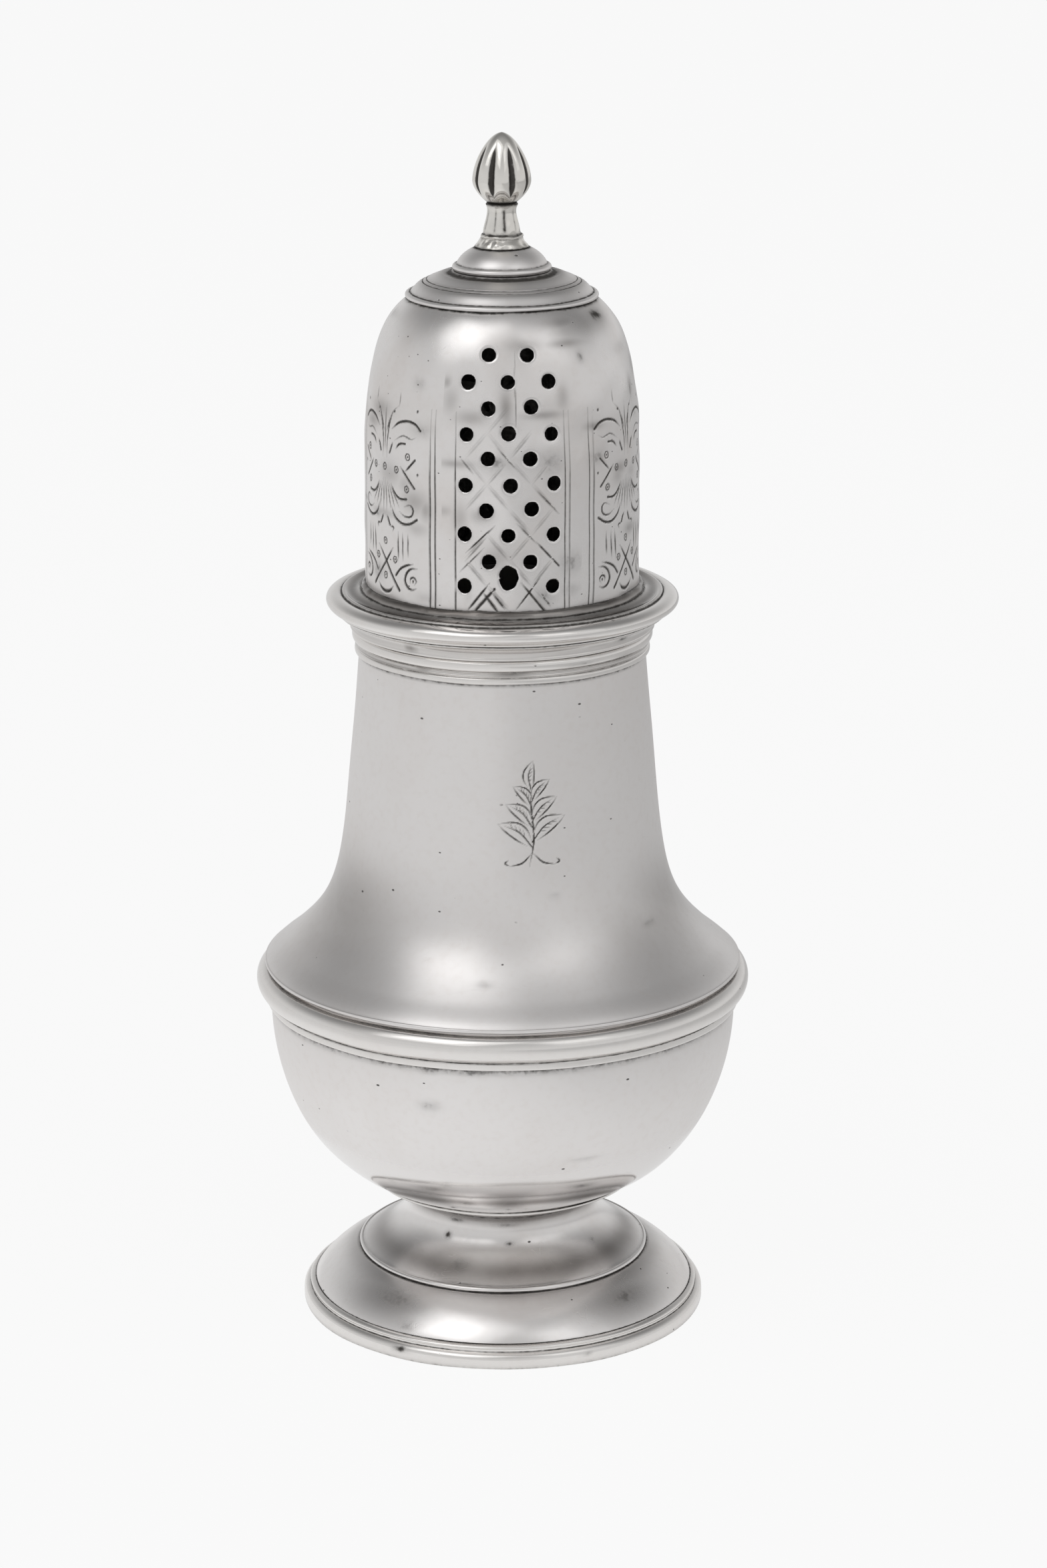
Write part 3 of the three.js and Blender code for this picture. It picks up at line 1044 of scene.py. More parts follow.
@dataclass
class Workshop:
    """What the sub-assemblies of one body need: frame, body, dresser and the metal's unevenness."""

    frame: dict
    body: Body
    dresser: Dresser = field(default_factory=Dresser)
    raised: HandWork = HandWork()
    places: dict[str, Place] = field(default_factory=dict)

    def place(self, node: str) -> Place:
        """Looks up the place of a node, which is read from the frame once.

        Args:
            node: the node's name.

        Returns:
            Its place.
        """
        if node not in self.places:
            self.places[node] = Place.of(self.frame, node)
        return self.places[node]

    def turned(
        self,
        name: str,
        outline: Outline,
        marks: Sequence[Mark],
        finish: SilverFinish,
        soft: float,
        widest: float = 0.8,
        shape: Callable[[Relief], None] | None = None,
        work: HandWork | None = None,
        steps: int = FINE_STEPS,
    ) -> None:
        """Makes one turned piece that stands for the node of the same name.

        Args:
            name: the node, whose name the piece takes with an ending of its own.
            outline: the template.
            marks: where tarnish gathers and where shade is painted.
            finish: the surface.
            soft: how far its corners are rounded.
            widest: the widest spacing of the outline's points.
            shape: a last shaping of the surface.
            work: unevenness of its own, instead of the raised metal's.
            steps: steps of the turn.
        """
        fine = outline.softened(soft).refined(near_crevices(marks, widest))
        surface = Surface(name + "_silver", fine, [Sector(360.0, steps)])
        piece = surface.finish(marks, work or self.raised, shape)
        self.dresser.dress(piece, [finish], self.body, name)


@dataclass
class Foot:
    """The foot: rim moulding, domed dish, hollow spool and the collar that carries the bowl."""

    shop: Workshop
    rim_width: float = 3.0
    line_inset: float = 1.8
    bead_size: Point = (0.82, 0.45)
    groove_inset: float = 1.0
    dish_wall: float = 1.0
    ledge: float = 2.0
    step_gap: float = 0.4
    roll: float = 0.38
    spool_wall: float = 1.1
    spool_top: float = 15.1
    collar_bead: float = 0.25
    seat_width: float = 3.5
    seat_rise: float = 1.5

    def build(self) -> None:
        """Makes the four pieces of the foot."""
        self.rim()
        self.dish()
        self.spool()
        self.collar()

    def rim(self) -> None:
        """The drawn moulding that stands on the table."""
        place = self.shop.place("foot_rim")
        edge, top = place.radius, place.high
        line = edge - self.line_inset
        foot, side = Corner(edge, 0.0), Corner(edge, 0.0, rise=top)
        groove = side(-self.groove_inset, 0.71)
        outline = (
            Outline(foot(-self.rim_width, 0.0), foot(-0.22, 0.0))
            .bend(foot(-0.02, 0.05), foot(0.0, 0.2), foot(0.0, 0.45), 5)
            .to(side(0.0, 0.37))
            .bend(side(0.0, 0.52), side(-0.3, 0.65), side(-0.75, 0.69), 8)
            .to(groove, (groove[0] - 0.03, groove[1] + 0.12))
            .bead((line, top - self.bead_size[1]), self.bead_size, -22, 90)
            .to((edge - self.rim_width, top))
        )
        marks = [
            Crevice(groove[0] - 0.02, groove[1] + 0.04, 0.12),
            Crevice(line, top, 0.14, 0.95),
            Crevice(edge, 0.0, 0.45, 0.45),
            TarnishAndShadePatch(-30.4, 1.7, 1.1, 0.5, 0.9),
            TarnishAndShadePatch(24.0, 1.5, 0.6, 0.3),
        ]
        self.shop.turned("foot_rim", outline, marks, TORUS, 0.05, 0.4, shape=self._stand)

    @staticmethod
    def _stand(relief: Relief) -> None:
        """Keeps the ring under the rim on the table."""
        relief.spots[:, 2] = relief.spots[:, 2].clip(0.0)

    def dish(self) -> None:
        """The domed plate between the rim and the step."""
        place = self.shop.place("foot_dish")
        step = self.shop.place("foot_spool").radius + self.step_gap
        line, low, top = place.radius, place.low, place.high
        width = line - step
        at = Corner(step, low, width, place.rise)
        outline = Outline((line, low)).bend(at(0.81, 0.38), at(0.36, 0.79), (step, top), 24)
        under = outline.inset(self.dish_wall, 1, 24)
        outline.to((step - self.ledge, top), (step - self.ledge, top - self.dish_wall))
        outline.to(*reversed(under)).to((line - self.dish_wall, low))
        marks = [
            Crevice(line, low, 0.13, 0.85),
            Crevice(step - self.step_gap, top, 0.26, 0.8),
            # Painted shade: a broad smooth film out from the step, darkest by the spool's roll.
            Crevice(step, top, width * 0.34, 0.42, smooth=True),
            TarnishAndShadePatch(-40.0, 7.0, 4.2, 1.0),
            TarnishAndShadePatch(-42.0, 6.8, 6.0, 1.6, 0.28, smooth=True),
            TarnishAndShadePatch(46.0, 6.6, 5.0, 1.5, 0.3, smooth=True),
            TarnishAndShadePatch(-31.0, 4.5, 1.6, 0.8),
            TarnishAndShadePatch(45.0, 6.6, 3.4, 0.9, 0.55),
            TarnishAndShadePatch(-150.0, 6.2, 4.0, 1.2, 0.55),
            TarnishAndShadePatch(118.0, 5.5, 2.4, 0.9),
        ]
        self.shop.turned("foot_dish", outline, marks, FOOT_SHEET, 0.1, 0.45, shape=Relief.mark_inside)

    def spool(self) -> None:
        """The hollow stem, rolled over at its lower edge."""
        place = self.shop.place("foot_spool")
        edge, low, top = place.radius, place.low, place.high
        at = Corner(self.spool_top, low, edge - self.spool_top, place.rise)
        lip = Corner(edge, low, self.roll, self.roll)
        outline = Outline(lip(-4, 0), lip(-1, 0))
        outline.bead((edge - self.roll, low + self.roll + 0.02), (self.roll, self.roll), -85, 92, 12)
        start = len(outline.points)
        outline.to(lip(-1.35, 1.9)).bend(at(0.5, 0.25), at(-0.28, 0.54), (self.spool_top, top), 30)
        under = outline.inset(self.spool_wall, start + 1, len(outline.points) - 1)
        outline.to((self.spool_top - self.spool_wall, top)).to(*reversed(under))
        marks = [
            Crevice(edge - 0.1, low, 0.2, 0.85),
            Crevice(*lip(-1.6, 2), 0.3, 0.3),
            # Painted dark reflection: a broad smooth film on the lower flare.
            Crevice(*at(0.54, 0.21), 2.4, 0.7, smooth=True),
            Crevice(self.spool_top, top, 0.5),
            # Painted shadow under the collar: a broad smooth film on the spool's top.
            Crevice(self.spool_top - 0.2, top - 0.8, 1.4, 0.62, smooth=True),
            TarnishAndShadePatch(-29.0, 17.0, 1.3, 0.4, 0.65),
            TarnishAndShadePatch(2.0, 16.8, 2.0, 0.4, 0.45),
            TarnishAndShadePatch(-33.5, 14.5, 0.55, 0.5, 1.0),
            TarnishAndShadePatch(3.5, 14.1, 0.5, 0.28, 0.85),
            TarnishAndShadePatch(54.0, 12.6, 0.4, 0.3, 0.6),
            TarnishAndShadePatch(-21.0, 11.4, 1.4, 0.7, 0.45),
            TarnishAndShadePatch(160.0, 14.3, 0.7, 0.5, 0.9),
        ]

        def shade_inside_and_polish_roll(relief: Relief) -> None:
            """Paints shade on the underside and leaves the rolled edge bright."""
            relief.mark_inside()
            relief.polish = 0.8 * ease(relief.radius, edge - 3.0 * self.roll, edge - 2.0 * self.roll)

        self.shop.turned("foot_spool", outline, marks, FOOT_SHEET, 0.08, 0.35, shape=shade_inside_and_polish_roll)

    def collar(self) -> None:
        """The beaded ring between the spool and the bowl."""
        place = self.shop.place("foot_collar")
        edge, low, high = place.radius, place.low, place.high
        seat = edge - 0.3 - self.seat_width
        inner = self.spool_top - self.spool_wall
        rise = place.rise - self.collar_bead
        at = Corner(seat, low, edge - seat, rise)
        bead = (self.collar_bead, self.collar_bead)
        outline = (
            Outline((inner, low), (self.spool_top, low))
            .bend(at(0.0, 0.1), at(0.3, 0.5), (edge - 0.6, low + rise * 0.92))
            .bead((edge - self.collar_bead, high - self.collar_bead), bead, -75, 75)
            .to((seat + self.seat_width, high), (seat, high - self.seat_rise))
            .to((inner, high - self.seat_rise - 0.55))
        )
        marks = [Crevice(edge - 0.5, high - 0.5, 0.35, 0.8), Crevice(self.spool_top + 0.3, low + 0.1, 0.5)]
        self.shop.turned("foot_collar", outline, marks, BRIGHT, 0.05)


@dataclass
class Bowl:
    """The bowl and the girdle moulding over its seam."""

    shop: Workshop
    wall: float = 1.0
    upright: float = 4.0
    seat_inner: float = 16.5
    seat_outer: float = 20.0
    floor_drop: float = 0.9
    seat_rise: float = 1.5
    fillet: float = 0.75
    torus_half_rise: float = 1.9

    def build(self) -> None:
        """Makes the bowl and its girdle."""
        self.bowl()
        self.girdle()

    def bowl(self) -> None:
        """The raised lower body."""
        place = self.shop.place("bowl")
        seat, seam, edge = place.low + self.floor_drop, place.high, place.radius
        foot, shoulder = seat + self.seat_rise, seam - self.upright
        rise = shoulder - foot
        outline = Outline((0.0, place.low), (self.seat_inner, seat), (self.seat_outer, foot))
        outline.bend((edge * 0.997, foot + rise * 0.245), (edge, foot + rise * 0.97), (edge, shoulder), 44)
        inner = outline.inset(self.wall, 3, len(outline.points) - 1)
        outline.to((edge, seam), (edge - self.wall, seam), (edge - self.wall, shoulder)).to(*reversed(inner))
        outline.to((self.seat_inner, seat + self.wall * 1.1), (0.0, place.low + self.wall))
        girdle = self.shop.place("girdle_moulding").low
        marks = [
            Crevice(self.seat_outer, foot, 0.5),
            Crevice(edge + 0.2, girdle, 0.75, 0.75),
            TarnishAndShadePatch(-17.7, girdle - 0.8, 1.0, 0.4, 0.8),
            TarnishAndShadePatch(-7.0, girdle - 0.6, 2.0, 0.45, 0.7),
            TarnishAndShadePatch(-1.0, girdle - 0.5, 0.7, 0.4, 0.7),
            TarnishAndShadePatch(9.0, girdle - 0.3, 2.4, 0.4, 0.55),
            TarnishAndShadePatch(-18.0, 43.0, 1.4, 0.8, 0.42),
            TarnishAndShadePatch(22.0, 33.4, 2.2, 0.35, 0.3),
        ]

        def polish(relief: Relief) -> None:
            """Paints shade on the inner side, and leaves the underside polished bright, where no hand wears
            it.
            """
            relief.mark_inside()
            relief.polish = 1.0 - ease(relief.spots[:, 2], foot + rise * 0.3, foot + rise * 0.43)

        self.shop.turned("bowl", outline, marks, SATIN, 0.1, 0.6, shape=polish)

    def girdle(self) -> None:
        """The bold torus and its fillet."""
        place = self.shop.place("girdle_moulding")
        low, top, edge = place.low, place.high, place.radius
        wall = self.shop.place("bowl").radius
        at = Corner(wall, low, self.fillet)
        fillet = wall + self.fillet
        width = (edge - fillet) * 1.1
        middle = top - self.torus_half_rise * 1.08
        outline = (
            Outline((wall, low), at(0.55, 0.0))
            .bend(at(0.9, 0.02), at(1.0, 0.15), at(1.0, 0.4), 6)
            .to(at(1.0, 0.95), (fillet - 0.12, low + 1.15))
            .bead((edge - width, middle), (width, self.torus_half_rise), -78, 82, 30)
            .to((wall, top))
        )
        marks = [
            Crevice(fillet - 0.05, low + 1.2, 0.16),
            Crevice(wall + 0.3, low, 0.22, 0.95),
            Crevice(edge - width, top, 0.2, 0.85),
        ]
        self.shop.turned("girdle_moulding", outline, marks, TORUS, 0.06, 0.5)


@dataclass
class LeafSprig:
    """A small engraved sprig: a stem with paired leaves, a bud and two crossed stalks at its foot."""

    height: float = 15.5
    leaf_length: float = 6.2
    leaf_width: float = 2.3
    pairs: int = 3

    def strokes(self) -> list[Stroke]:
        """Draws the sprig round its middle.

        Returns:
            Its cuts.
        """
        low = -self.height / 2
        cuts = [Stroke(((-0.5, low), (0.25, low + 4.0), (-0.1, low + 9.0), (0.0, low + 11.6)), 0.34)]
        for pair in range(self.pairs):
            root = low + 3.2 + pair * 3.0
            for side in SIDES:
                lean = side * (0.95 - 0.12 * pair)
                cuts.extend(self.leaf((0.0, root + 0.4 * side), lean, 1.0 - 0.16 * pair))
        cuts.extend(self.leaf((0.0, low + 11.2), 0.06, 0.72))
        for side in SIDES:
            at = Corner(0.0, low, side)
            cuts.append(Stroke((at(0.2, 1.8), at(1.6, 0.5), at(3.4, 0.1)), 0.34))
            cuts.append(Stroke((at(3.4, 0.1), at(4.1, 0.5), at(3.6, 1.0)), 0.3))
        return cuts

    def leaf(self, root: Point, turn: float, scale: float) -> list[Stroke]:
        """Draws one pointed leaf with a vein and hatching.

        Args:
            root: where it leaves the stem.
            turn: its lean from upright in radians, to the right.
            scale: its size against the largest leaf.

        Returns:
            Its cuts.
        """
        length, width = self.leaf_length * scale, self.leaf_width * scale
        cosine, sine = math.cos(turn), math.sin(turn)

        def spot(along: float, aside: float) -> Point:
            """Finds a point of the leaf.

            Args:
                along: its share of the length.
                aside: its share of the width.

            Returns:
                The point on the patch.
            """
            bow = 0.12 * length * math.sin(math.pi * along)
            x, y = aside * width + math.copysign(bow, -turn), along * length
            return (root[0] + x * cosine + y * sine, root[1] - x * sine + y * cosine)

        cuts = []
        for side in (-0.5, 0.5):
            rim = []
            for t in (0.12, 0.35, 0.6, 0.82, 1.0):
                rim.append(spot(t, side * math.sin(math.pi * min(1.0, t * 1.02)) ** 0.8))
            cuts.append(Stroke(tuple(rim), 0.3, 0.08))
        cuts.append(Stroke((spot(0.0, 0.0), spot(0.45, 0.0), spot(0.85, 0.0)), 0.26, 0.08, Taper.END))
        for t in (0.3, 0.42, 0.54, 0.66):
            cuts.append(Stroke((spot(t, 0.03), spot(t + 0.13, 0.3)), 0.17, 0.05, Taper.END))
        return cuts


@dataclass
class Bell:
    """The waisted upper body with its engraved sprig, and the mouldings of the neck."""

    shop: Workshop
    wall: float = 0.8
    lip: float = 0.35
    roll: float = 0.27
    roll_rise: float = 2.9
    edge_proud: float = 0.9
    edge_rise: float = 3.25
    neck_proud: float = 3.05
    sprig: LeafSprig = field(default_factory=LeafSprig)
    sprig_angle: float = 10.7
    sprig_height: float = 84.6
    sprig_half_angle: float = 19.0
    sprig_steps: int = 104
    plain_steps: int = 136
    sprig_spacing: float = 0.17

    def build(self) -> None:
        """Makes the bell and its neck."""
        self.bell()
        self.neck()

    def bell(self) -> None:
        """The sheet of the upper body, with finer steps where the sprig is cut."""
        place = self.shop.place("upper_body")
        neck_place = self.shop.place("neck_moulding")
        neck = neck_place.radius - self.neck_proud
        edge, seam, mouth = place.radius, place.low, place.high
        rim = edge - self.edge_proud
        level = seam + self.edge_rise
        rise = neck_place.low - level
        under, lip = Corner(rim, level, rise=self.lip), Corner(edge, level, rise=self.lip)
        at = Corner(neck, level, edge - neck, rise)
        outline = (
            Outline((rim, seam), under(0.0, -1.2))
            .bend(under(0.3, -1.0), lip(0.0, -0.8), (edge, level), 6)
            .bend(lip(0.0, 0.6), lip(0.0, 1.0), lip(-0.2, 1.0), 4)
        )
        start = len(outline.points)
        outline.bend(at(0.1, 0.232), at(0.24, 0.248), at(0.0, 0.996), 70)
        for i in range(start, len(outline.points)):
            radius, height = outline.points[i]
            share = min(1.0, (height - level - self.lip) / self.roll_rise)
            outline.points[i] = (radius + 4 * self.roll * share * (1.0 - share) ** 2, height)
        inner = [p for p in outline.inset(self.wall, start, len(outline.points) - 1) if p[0] < rim - 1.0]
        outline.to((neck, mouth), (neck - self.wall, mouth)).to(*reversed(inner))
        outline.to(under(-1.0, -2.0), (rim - 1.0, seam))
        marks = [
            Crevice(edge - 0.1, level - self.lip, 0.17, 0.85),
            Crevice(neck + 0.1, neck_place.low, 0.35),
            TarnishAndShadePatch(54.0, 65.6, 1.2, 0.35),
            TarnishAndShadePatch(18.0, 72.2, 0.9, 0.3, 0.35),
            TarnishAndShadePatch(-5.0, 60.8, 1.0, 0.35, 0.4),
            # Painted darker reflections on the bell's sides: the four broad smooth patches below.
            TarnishAndShadePatch(-62.0, 66.5, 13.0, 7.5, smooth=True),
            TarnishAndShadePatch(64.0, 66.0, 13.0, 7.0, 0.46, smooth=True),
            TarnishAndShadePatch(-150.0, 65.0, 16.0, 7.0, 0.4, smooth=True),
            TarnishAndShadePatch(155.0, 64.0, 14.0, 6.0, 0.4, smooth=True),
        ]
        plain = near_crevices(marks, 0.8)
        half_height = self.sprig.height / 2 + 1.0

        def spacing(radius: float, height: float) -> float:
            """Gives the sprig's band fine steps on its outer face.

            Args:
                radius: of a point of the outline.
                height: of the same point.

            Returns:
                The spacing there.
            """
            outside = radius > neck + 0.3 or height > level + rise * 0.9
            on_band = outside and abs(height - self.sprig_height) < half_height
            return self.sprig_spacing if on_band else plain(radius, height)

        half = self.sprig_half_angle
        sectors = [Sector(2 * half, self.sprig_steps), Sector(360.0 - 2 * half, self.plain_steps)]
        fine = outline.softened(0.08).refined(spacing)
        surface = Surface("upper_body_silver", fine, sectors, self.sprig_angle - half)
        piece = surface.finish(marks, self.shop.raised, self._engrave)
        self.shop.dresser.dress(piece, [SATIN], self.shop.body, "upper_body")

    def _engrave(self, relief: Relief) -> None:
        """Cuts the sprig into the outer face.

        Args:
            relief: the surface.
        """
        relief.mark_inside()
        across = np.radians(relief.angle - self.sprig_angle) * relief.radius
        up = relief.spots[:, 2] - self.sprig_height
        Engraving(self.sprig.strokes()).cut(relief, across, up, relief.inner < 0.5)

    def neck(self) -> None:
        """The applied mouldings of the neck: fillet, band, bead, fillet and the hollow below the rim."""
        place = self.shop.place("neck_moulding")
        low, top, edge = place.low, place.high, place.radius
        neck = edge - self.neck_proud
        at, rim = Corner(neck, low), Corner(edge, top)
        outline = (
            Outline(at(0.0, 0.0), at(0.45, 0.0))
            .bend(at(0.6, 0.05), at(0.64, 0.2), at(0.64, 0.4), 5)
            .bend(at(0.64, 0.65), at(0.6, 0.85), at(0.42, 0.92), 5)
            .to(at(0.42, 1.02), at(0.6, 1.08))
            .bend(at(0.3, 1.25), at(0.3, 1.6), at(0.6, 1.78), 10)
            .to(at(0.45, 1.88))
            .bead(at(0.5, 2.72), (0.52, 0.8), -80, 80, 20)
            .to(at(0.5, 3.6), at(1.1, 3.68))
            .bend(at(1.32, 3.7), at(1.34, 4.0), at(1.22, 4.16), 6)
            .bend(at(1.3, 5.0), at(2.1, 5.75), rim(-0.25, -0.32), 16)
            .bend(rim(0.0, -0.3), rim(0.0, -0.1), rim(-0.05, 0.0), 4)
            .to((neck, top))
        )
        marks = [
            Crevice(*at(0.35, 0.0), 0.2, 0.95),
            Crevice(*at(0.4, 0.97), 0.13, 0.6),
            Crevice(*at(0.38, 1.42), 0.4, 0.3, smooth=True),
            Crevice(*at(0.45, 1.9), 0.14, 0.6),
            Crevice(*at(0.55, 3.6), 0.17, 0.75),
            Crevice(*at(1.4, 4.8), 0.7, 0.35, smooth=True),
            Crevice(edge, top, 0.16, 0.7),
            TarnishAndShadePatch(3.0, low + 1.5, 3.6, 0.3, 0.75, smooth=True),
            TarnishAndShadePatch(-32.0, low + 1.5, 2.0, 0.3, 0.6, smooth=True),
            TarnishAndShadePatch(5.0, low + 1.7, 2.2, 0.16),
            TarnishAndShadePatch(31.0, low + 2.4, 2.6, 0.3, 0.42),
            TarnishAndShadePatch(54.0, low + 2.0, 3.0, 0.5, 0.45),
            # Painted dark reflections: the smooth patches in the hollow under the rim, here and at 140
            # degrees.
            TarnishAndShadePatch(-36.0, low + 4.7, 1.5, 0.65, 0.75, smooth=True),
            TarnishAndShadePatch(38.0, low + 4.9, 4.0, 0.4, smooth=True),
            TarnishAndShadePatch(50.0, low + 5.1, 1.5, 0.35, 0.65),
            TarnishAndShadePatch(-160.0, low + 2.0, 4.0, 0.5, 0.45),
            TarnishAndShadePatch(140.0, low + 4.8, 3.0, 0.5, smooth=True),
        ]
        self.shop.turned("neck_moulding", outline, marks, BRIGHT, 0.04)


@dataclass(frozen=True)
class Hole:
    """One punched hole: its angle in degrees, its height above the dome's foot, and its half sizes."""

    angle: float
    up: float
    half_width: float = 1.0
    half_height: float = 1.0
    raggedness: float = 0.0
    phase: float = 0.0

    def edge(self, around: np.ndarray) -> np.ndarray:
        """Works out the hole's radius.

        Args:
            around: directions round its middle.

        Returns:
            The radius in each direction.
        """
        oval = 1.0 / np.hypot(np.cos(around) / self.half_width, np.sin(around) / self.half_height)
        ragged = np.sin(3 * around + self.phase) + 0.6 * np.sin(7 * around + 2 * self.phase)
        return oval * (1.0 + self.raggedness * ragged)


@dataclass(frozen=True)
class DomeSide:
    """The outer side of the dome, as rows of radius and height in millimetres."""

    rows: np.ndarray
    half_step: float = 0.3
    nearby: float = 5.0

    def radius(self, height: np.ndarray) -> np.ndarray:
        """The dome's radius at each height."""
        return np.interp(height, self.rows[:, 1], self.rows[:, 0])

    def middle(self, hole: Hole) -> tuple[np.ndarray, np.ndarray, np.ndarray]:
        """Finds where a hole lies on the sheet.

        Args:
            hole: the hole.

        Returns:
            Its middle, and the directions sideways and up the sheet there.
        """
        angle = math.radians(hole.angle)
        outward = np.array([math.sin(angle), -math.cos(angle), 0.0])
        level = self.rows[0, 1] + hole.up
        low, high = (self.radius(np.array([level + step * self.half_step]))[0] for step in SIDES)
        lean = np.array([high - low, 2 * self.half_step])
        lean /= np.linalg.norm(lean)
        upward = outward * lean[0] + np.array([0.0, 0.0, lean[1]])
        spot = outward * (low + high) / 2 + np.array([0.0, 0.0, level])
        return spot, np.array([math.cos(angle), math.sin(angle), 0.0]), upward

    def past_edge(self, spots: np.ndarray, hole: Hole) -> tuple[np.ndarray, np.ndarray]:
        """How far points lie past a hole's edge along the sheet, and the radius of that edge towards each.

        Args:
            spots: the points.
            hole: the hole.

        Returns:
            The two distances for each point, and the first is endless where the hole isn't nearby.
        """
        spot, sideways, upward = self.middle(hole)
        away = spots - spot
        across, up = away @ sideways, away @ upward
        edge = hole.edge(np.arctan2(up, across))
        past = np.hypot(across, up) - edge
        return np.where(np.linalg.norm(away, axis=1) < self.nearby, past, math.inf), edge


def dot_punch(across: float, up: float, size: float = 0.42) -> list[Stroke]:
    """A small punched dot."""
    return [Stroke(((across, up - 0.05), (across, up + 0.05)), size, 0.1, Taper.NONE)]


def ring_punch(across: float, up: float, radius: float = 0.42) -> list[Stroke]:
    """Draws a small punched circle with a dot in its middle.

    Args:
        across: its place across the panel.
        up: its place up the panel.
        radius: its radius across.

    Returns:
        Its cuts.
    """
    ring = Corner(across, up, radius, radius * 1.15)
    turns = [math.radians(60.0 * k) for k in range(7)]
    circle = tuple(ring(math.cos(t), math.sin(t)) for t in turns)
    return [Stroke(circle, 0.24, 0.09, Taper.NONE), *dot_punch(across, up, 0.3)]


@dataclass(frozen=True)
class StrapOrnament:
    """The engraving of a blind panel: shell, scrolls, straps and rings, alike on both sides."""

    flutes: int = 4
    bar_top: float = 12.7
    bars: tuple[Point, ...] = ((3.2, 8.3), (4.2, 8.5), (5.3, 9.2))
    middle_rings: tuple[Point, ...] = ((0.0, 22.0), (0.0, 10.9), (0.0, 5.7))

    def strokes(self) -> list[Stroke]:
        """Draws one blind panel.

        Returns:
            Its cuts.
        """
        half = [*self.upper(), *self.shell(), *self.lower()]
        leaf = [
            Stroke(((0.5, 23.4), (0.6, 26.4), (1.5, 29.9), (2.9, 31.3)), 0.34, 0.07),
            Stroke(((3.0, 31.2), (3.1, 33.3)), 0.26, 0.05),
        ]
        cuts = half + [stroke.mirrored() for stroke in half]
        cuts.append(Stroke(((0.0, 24.0), (0.0, 31.4)), 0.3, 0.06))
        cuts += [stroke.mirrored() for stroke in leaf] + leaf
        cuts.append(Stroke(((-1.9, 4.3), (-1.1, 3.5), (0.0, 3.2), (1.1, 3.5), (1.9, 4.3)), 0.55, 0.12))
        return cuts + [cut for spot in self.middle_rings for cut in ring_punch(*spot)]

    @staticmethod
    def upper() -> list[Stroke]:
        """Draws the right half's arch and curls at the top, and the small cross below them.

        Returns:
            Their cuts.
        """
        return [
            Stroke(
                ((1.7, 27.8), (3.2, 28.9), (5.0, 29.3), (6.5, 29.0), (7.5, 28.2)), 0.5, 0.12, Taper.START
            ),
            Stroke(((2.4, 26.2), (4.2, 27.1), (5.9, 26.8), (6.8, 27.2)), 0.3, 0.06),
            Stroke(((2.7, 25.0), (3.5, 25.8), (4.7, 26.0)), 0.42, 0.1, Taper.START),
            Stroke(((1.2, 24.2), (1.9, 25.8)), 0.42, 0.1, Taper.END),
            Stroke(((0.35, 27.2), (1.2, 29.6)), 0.34, 0.07),
            *ring_punch(5.2, 24.1),
            *dot_punch(2.0, 30.4),
            *dot_punch(6.7, 30.9),
            Stroke(((3.7, 22.5), (6.5, 19.6)), 0.44, 0.11, Taper.START),
            Stroke(((4.7, 21.9), (6.6, 23.8)), 0.42, 0.1, Taper.START),
            *ring_punch(2.8, 21.9),
            *ring_punch(5.0, 19.3),
            *dot_punch(7.1, 21.7),
        ]

    def shell(self) -> list[Stroke]:
        """Draws the right half of the fluted shell, with its side leaf, its foot and the bars below.

        Returns:
            Their cuts.
        """
        cuts = []
        for k in range(self.flutes):
            tip, root = (0.25 + 0.35 * k, 20.3 - 0.25 * k), (0.45 + 1.0 * k, 15.2 + 0.35 * k)
            cuts.append(Stroke((tip, (0.35 + 0.75 * k, 17.6), root), 0.28, 0.06))
        cuts += [
            Stroke(((1.6, 19.6), (2.5, 18.3), (3.6, 17.7), (4.9, 17.8)), 0.46, 0.11, Taper.START),
            Stroke(
                ((4.4, 16.6), (5.6, 17.0), (6.2, 16.3), (5.8, 15.4), (4.6, 15.2), (3.4, 15.8)), 0.38, 0.08
            ),
            Stroke(
                ((1.6, 16.3), (2.4, 14.9), (3.9, 14.1), (5.5, 14.2), (6.9, 15.0)), 0.5, 0.12, Taper.START
            ),
            Stroke(((0.5, 14.8), (1.3, 13.3)), 0.46, 0.11, Taper.START),
            Stroke(((1.3, 13.3), (2.1, 13.2), (2.0, 12.6)), 0.36, 0.08),
        ]
        return cuts + [Stroke(((x, self.bar_top), (x - 0.1, foot)), 0.32, 0.08) for x, foot in self.bars]

    @staticmethod
    def lower() -> list[Stroke]:
        """Draws the crossed strap, scrolls and rings of the right half's foot.

        Returns:
            Their cuts.
        """
        return [
            Stroke(((-1.9, 10.1), (3.3, 3.9)), 0.5, 0.13, Taper.START),
            Stroke(((2.5, 6.1), (3.5, 7.2), (4.8, 7.9), (6.2, 8.3)), 0.46, 0.11, Taper.END),
            Stroke(
                ((6.9, 7.7), (5.7, 7.5), (4.8, 6.7), (4.5, 5.6), (5.0, 4.7), (5.9, 4.4), (6.7, 4.7)),
                0.5,
                0.12,
            ),
            Stroke(((5.6, 5.3), (5.6, 6.0), (6.2, 6.3), (6.7, 5.8), (6.4, 5.2)), 0.36, 0.09),
            *dot_punch(6.1, 5.7),
            *ring_punch(2.3, 8.4),
        ]


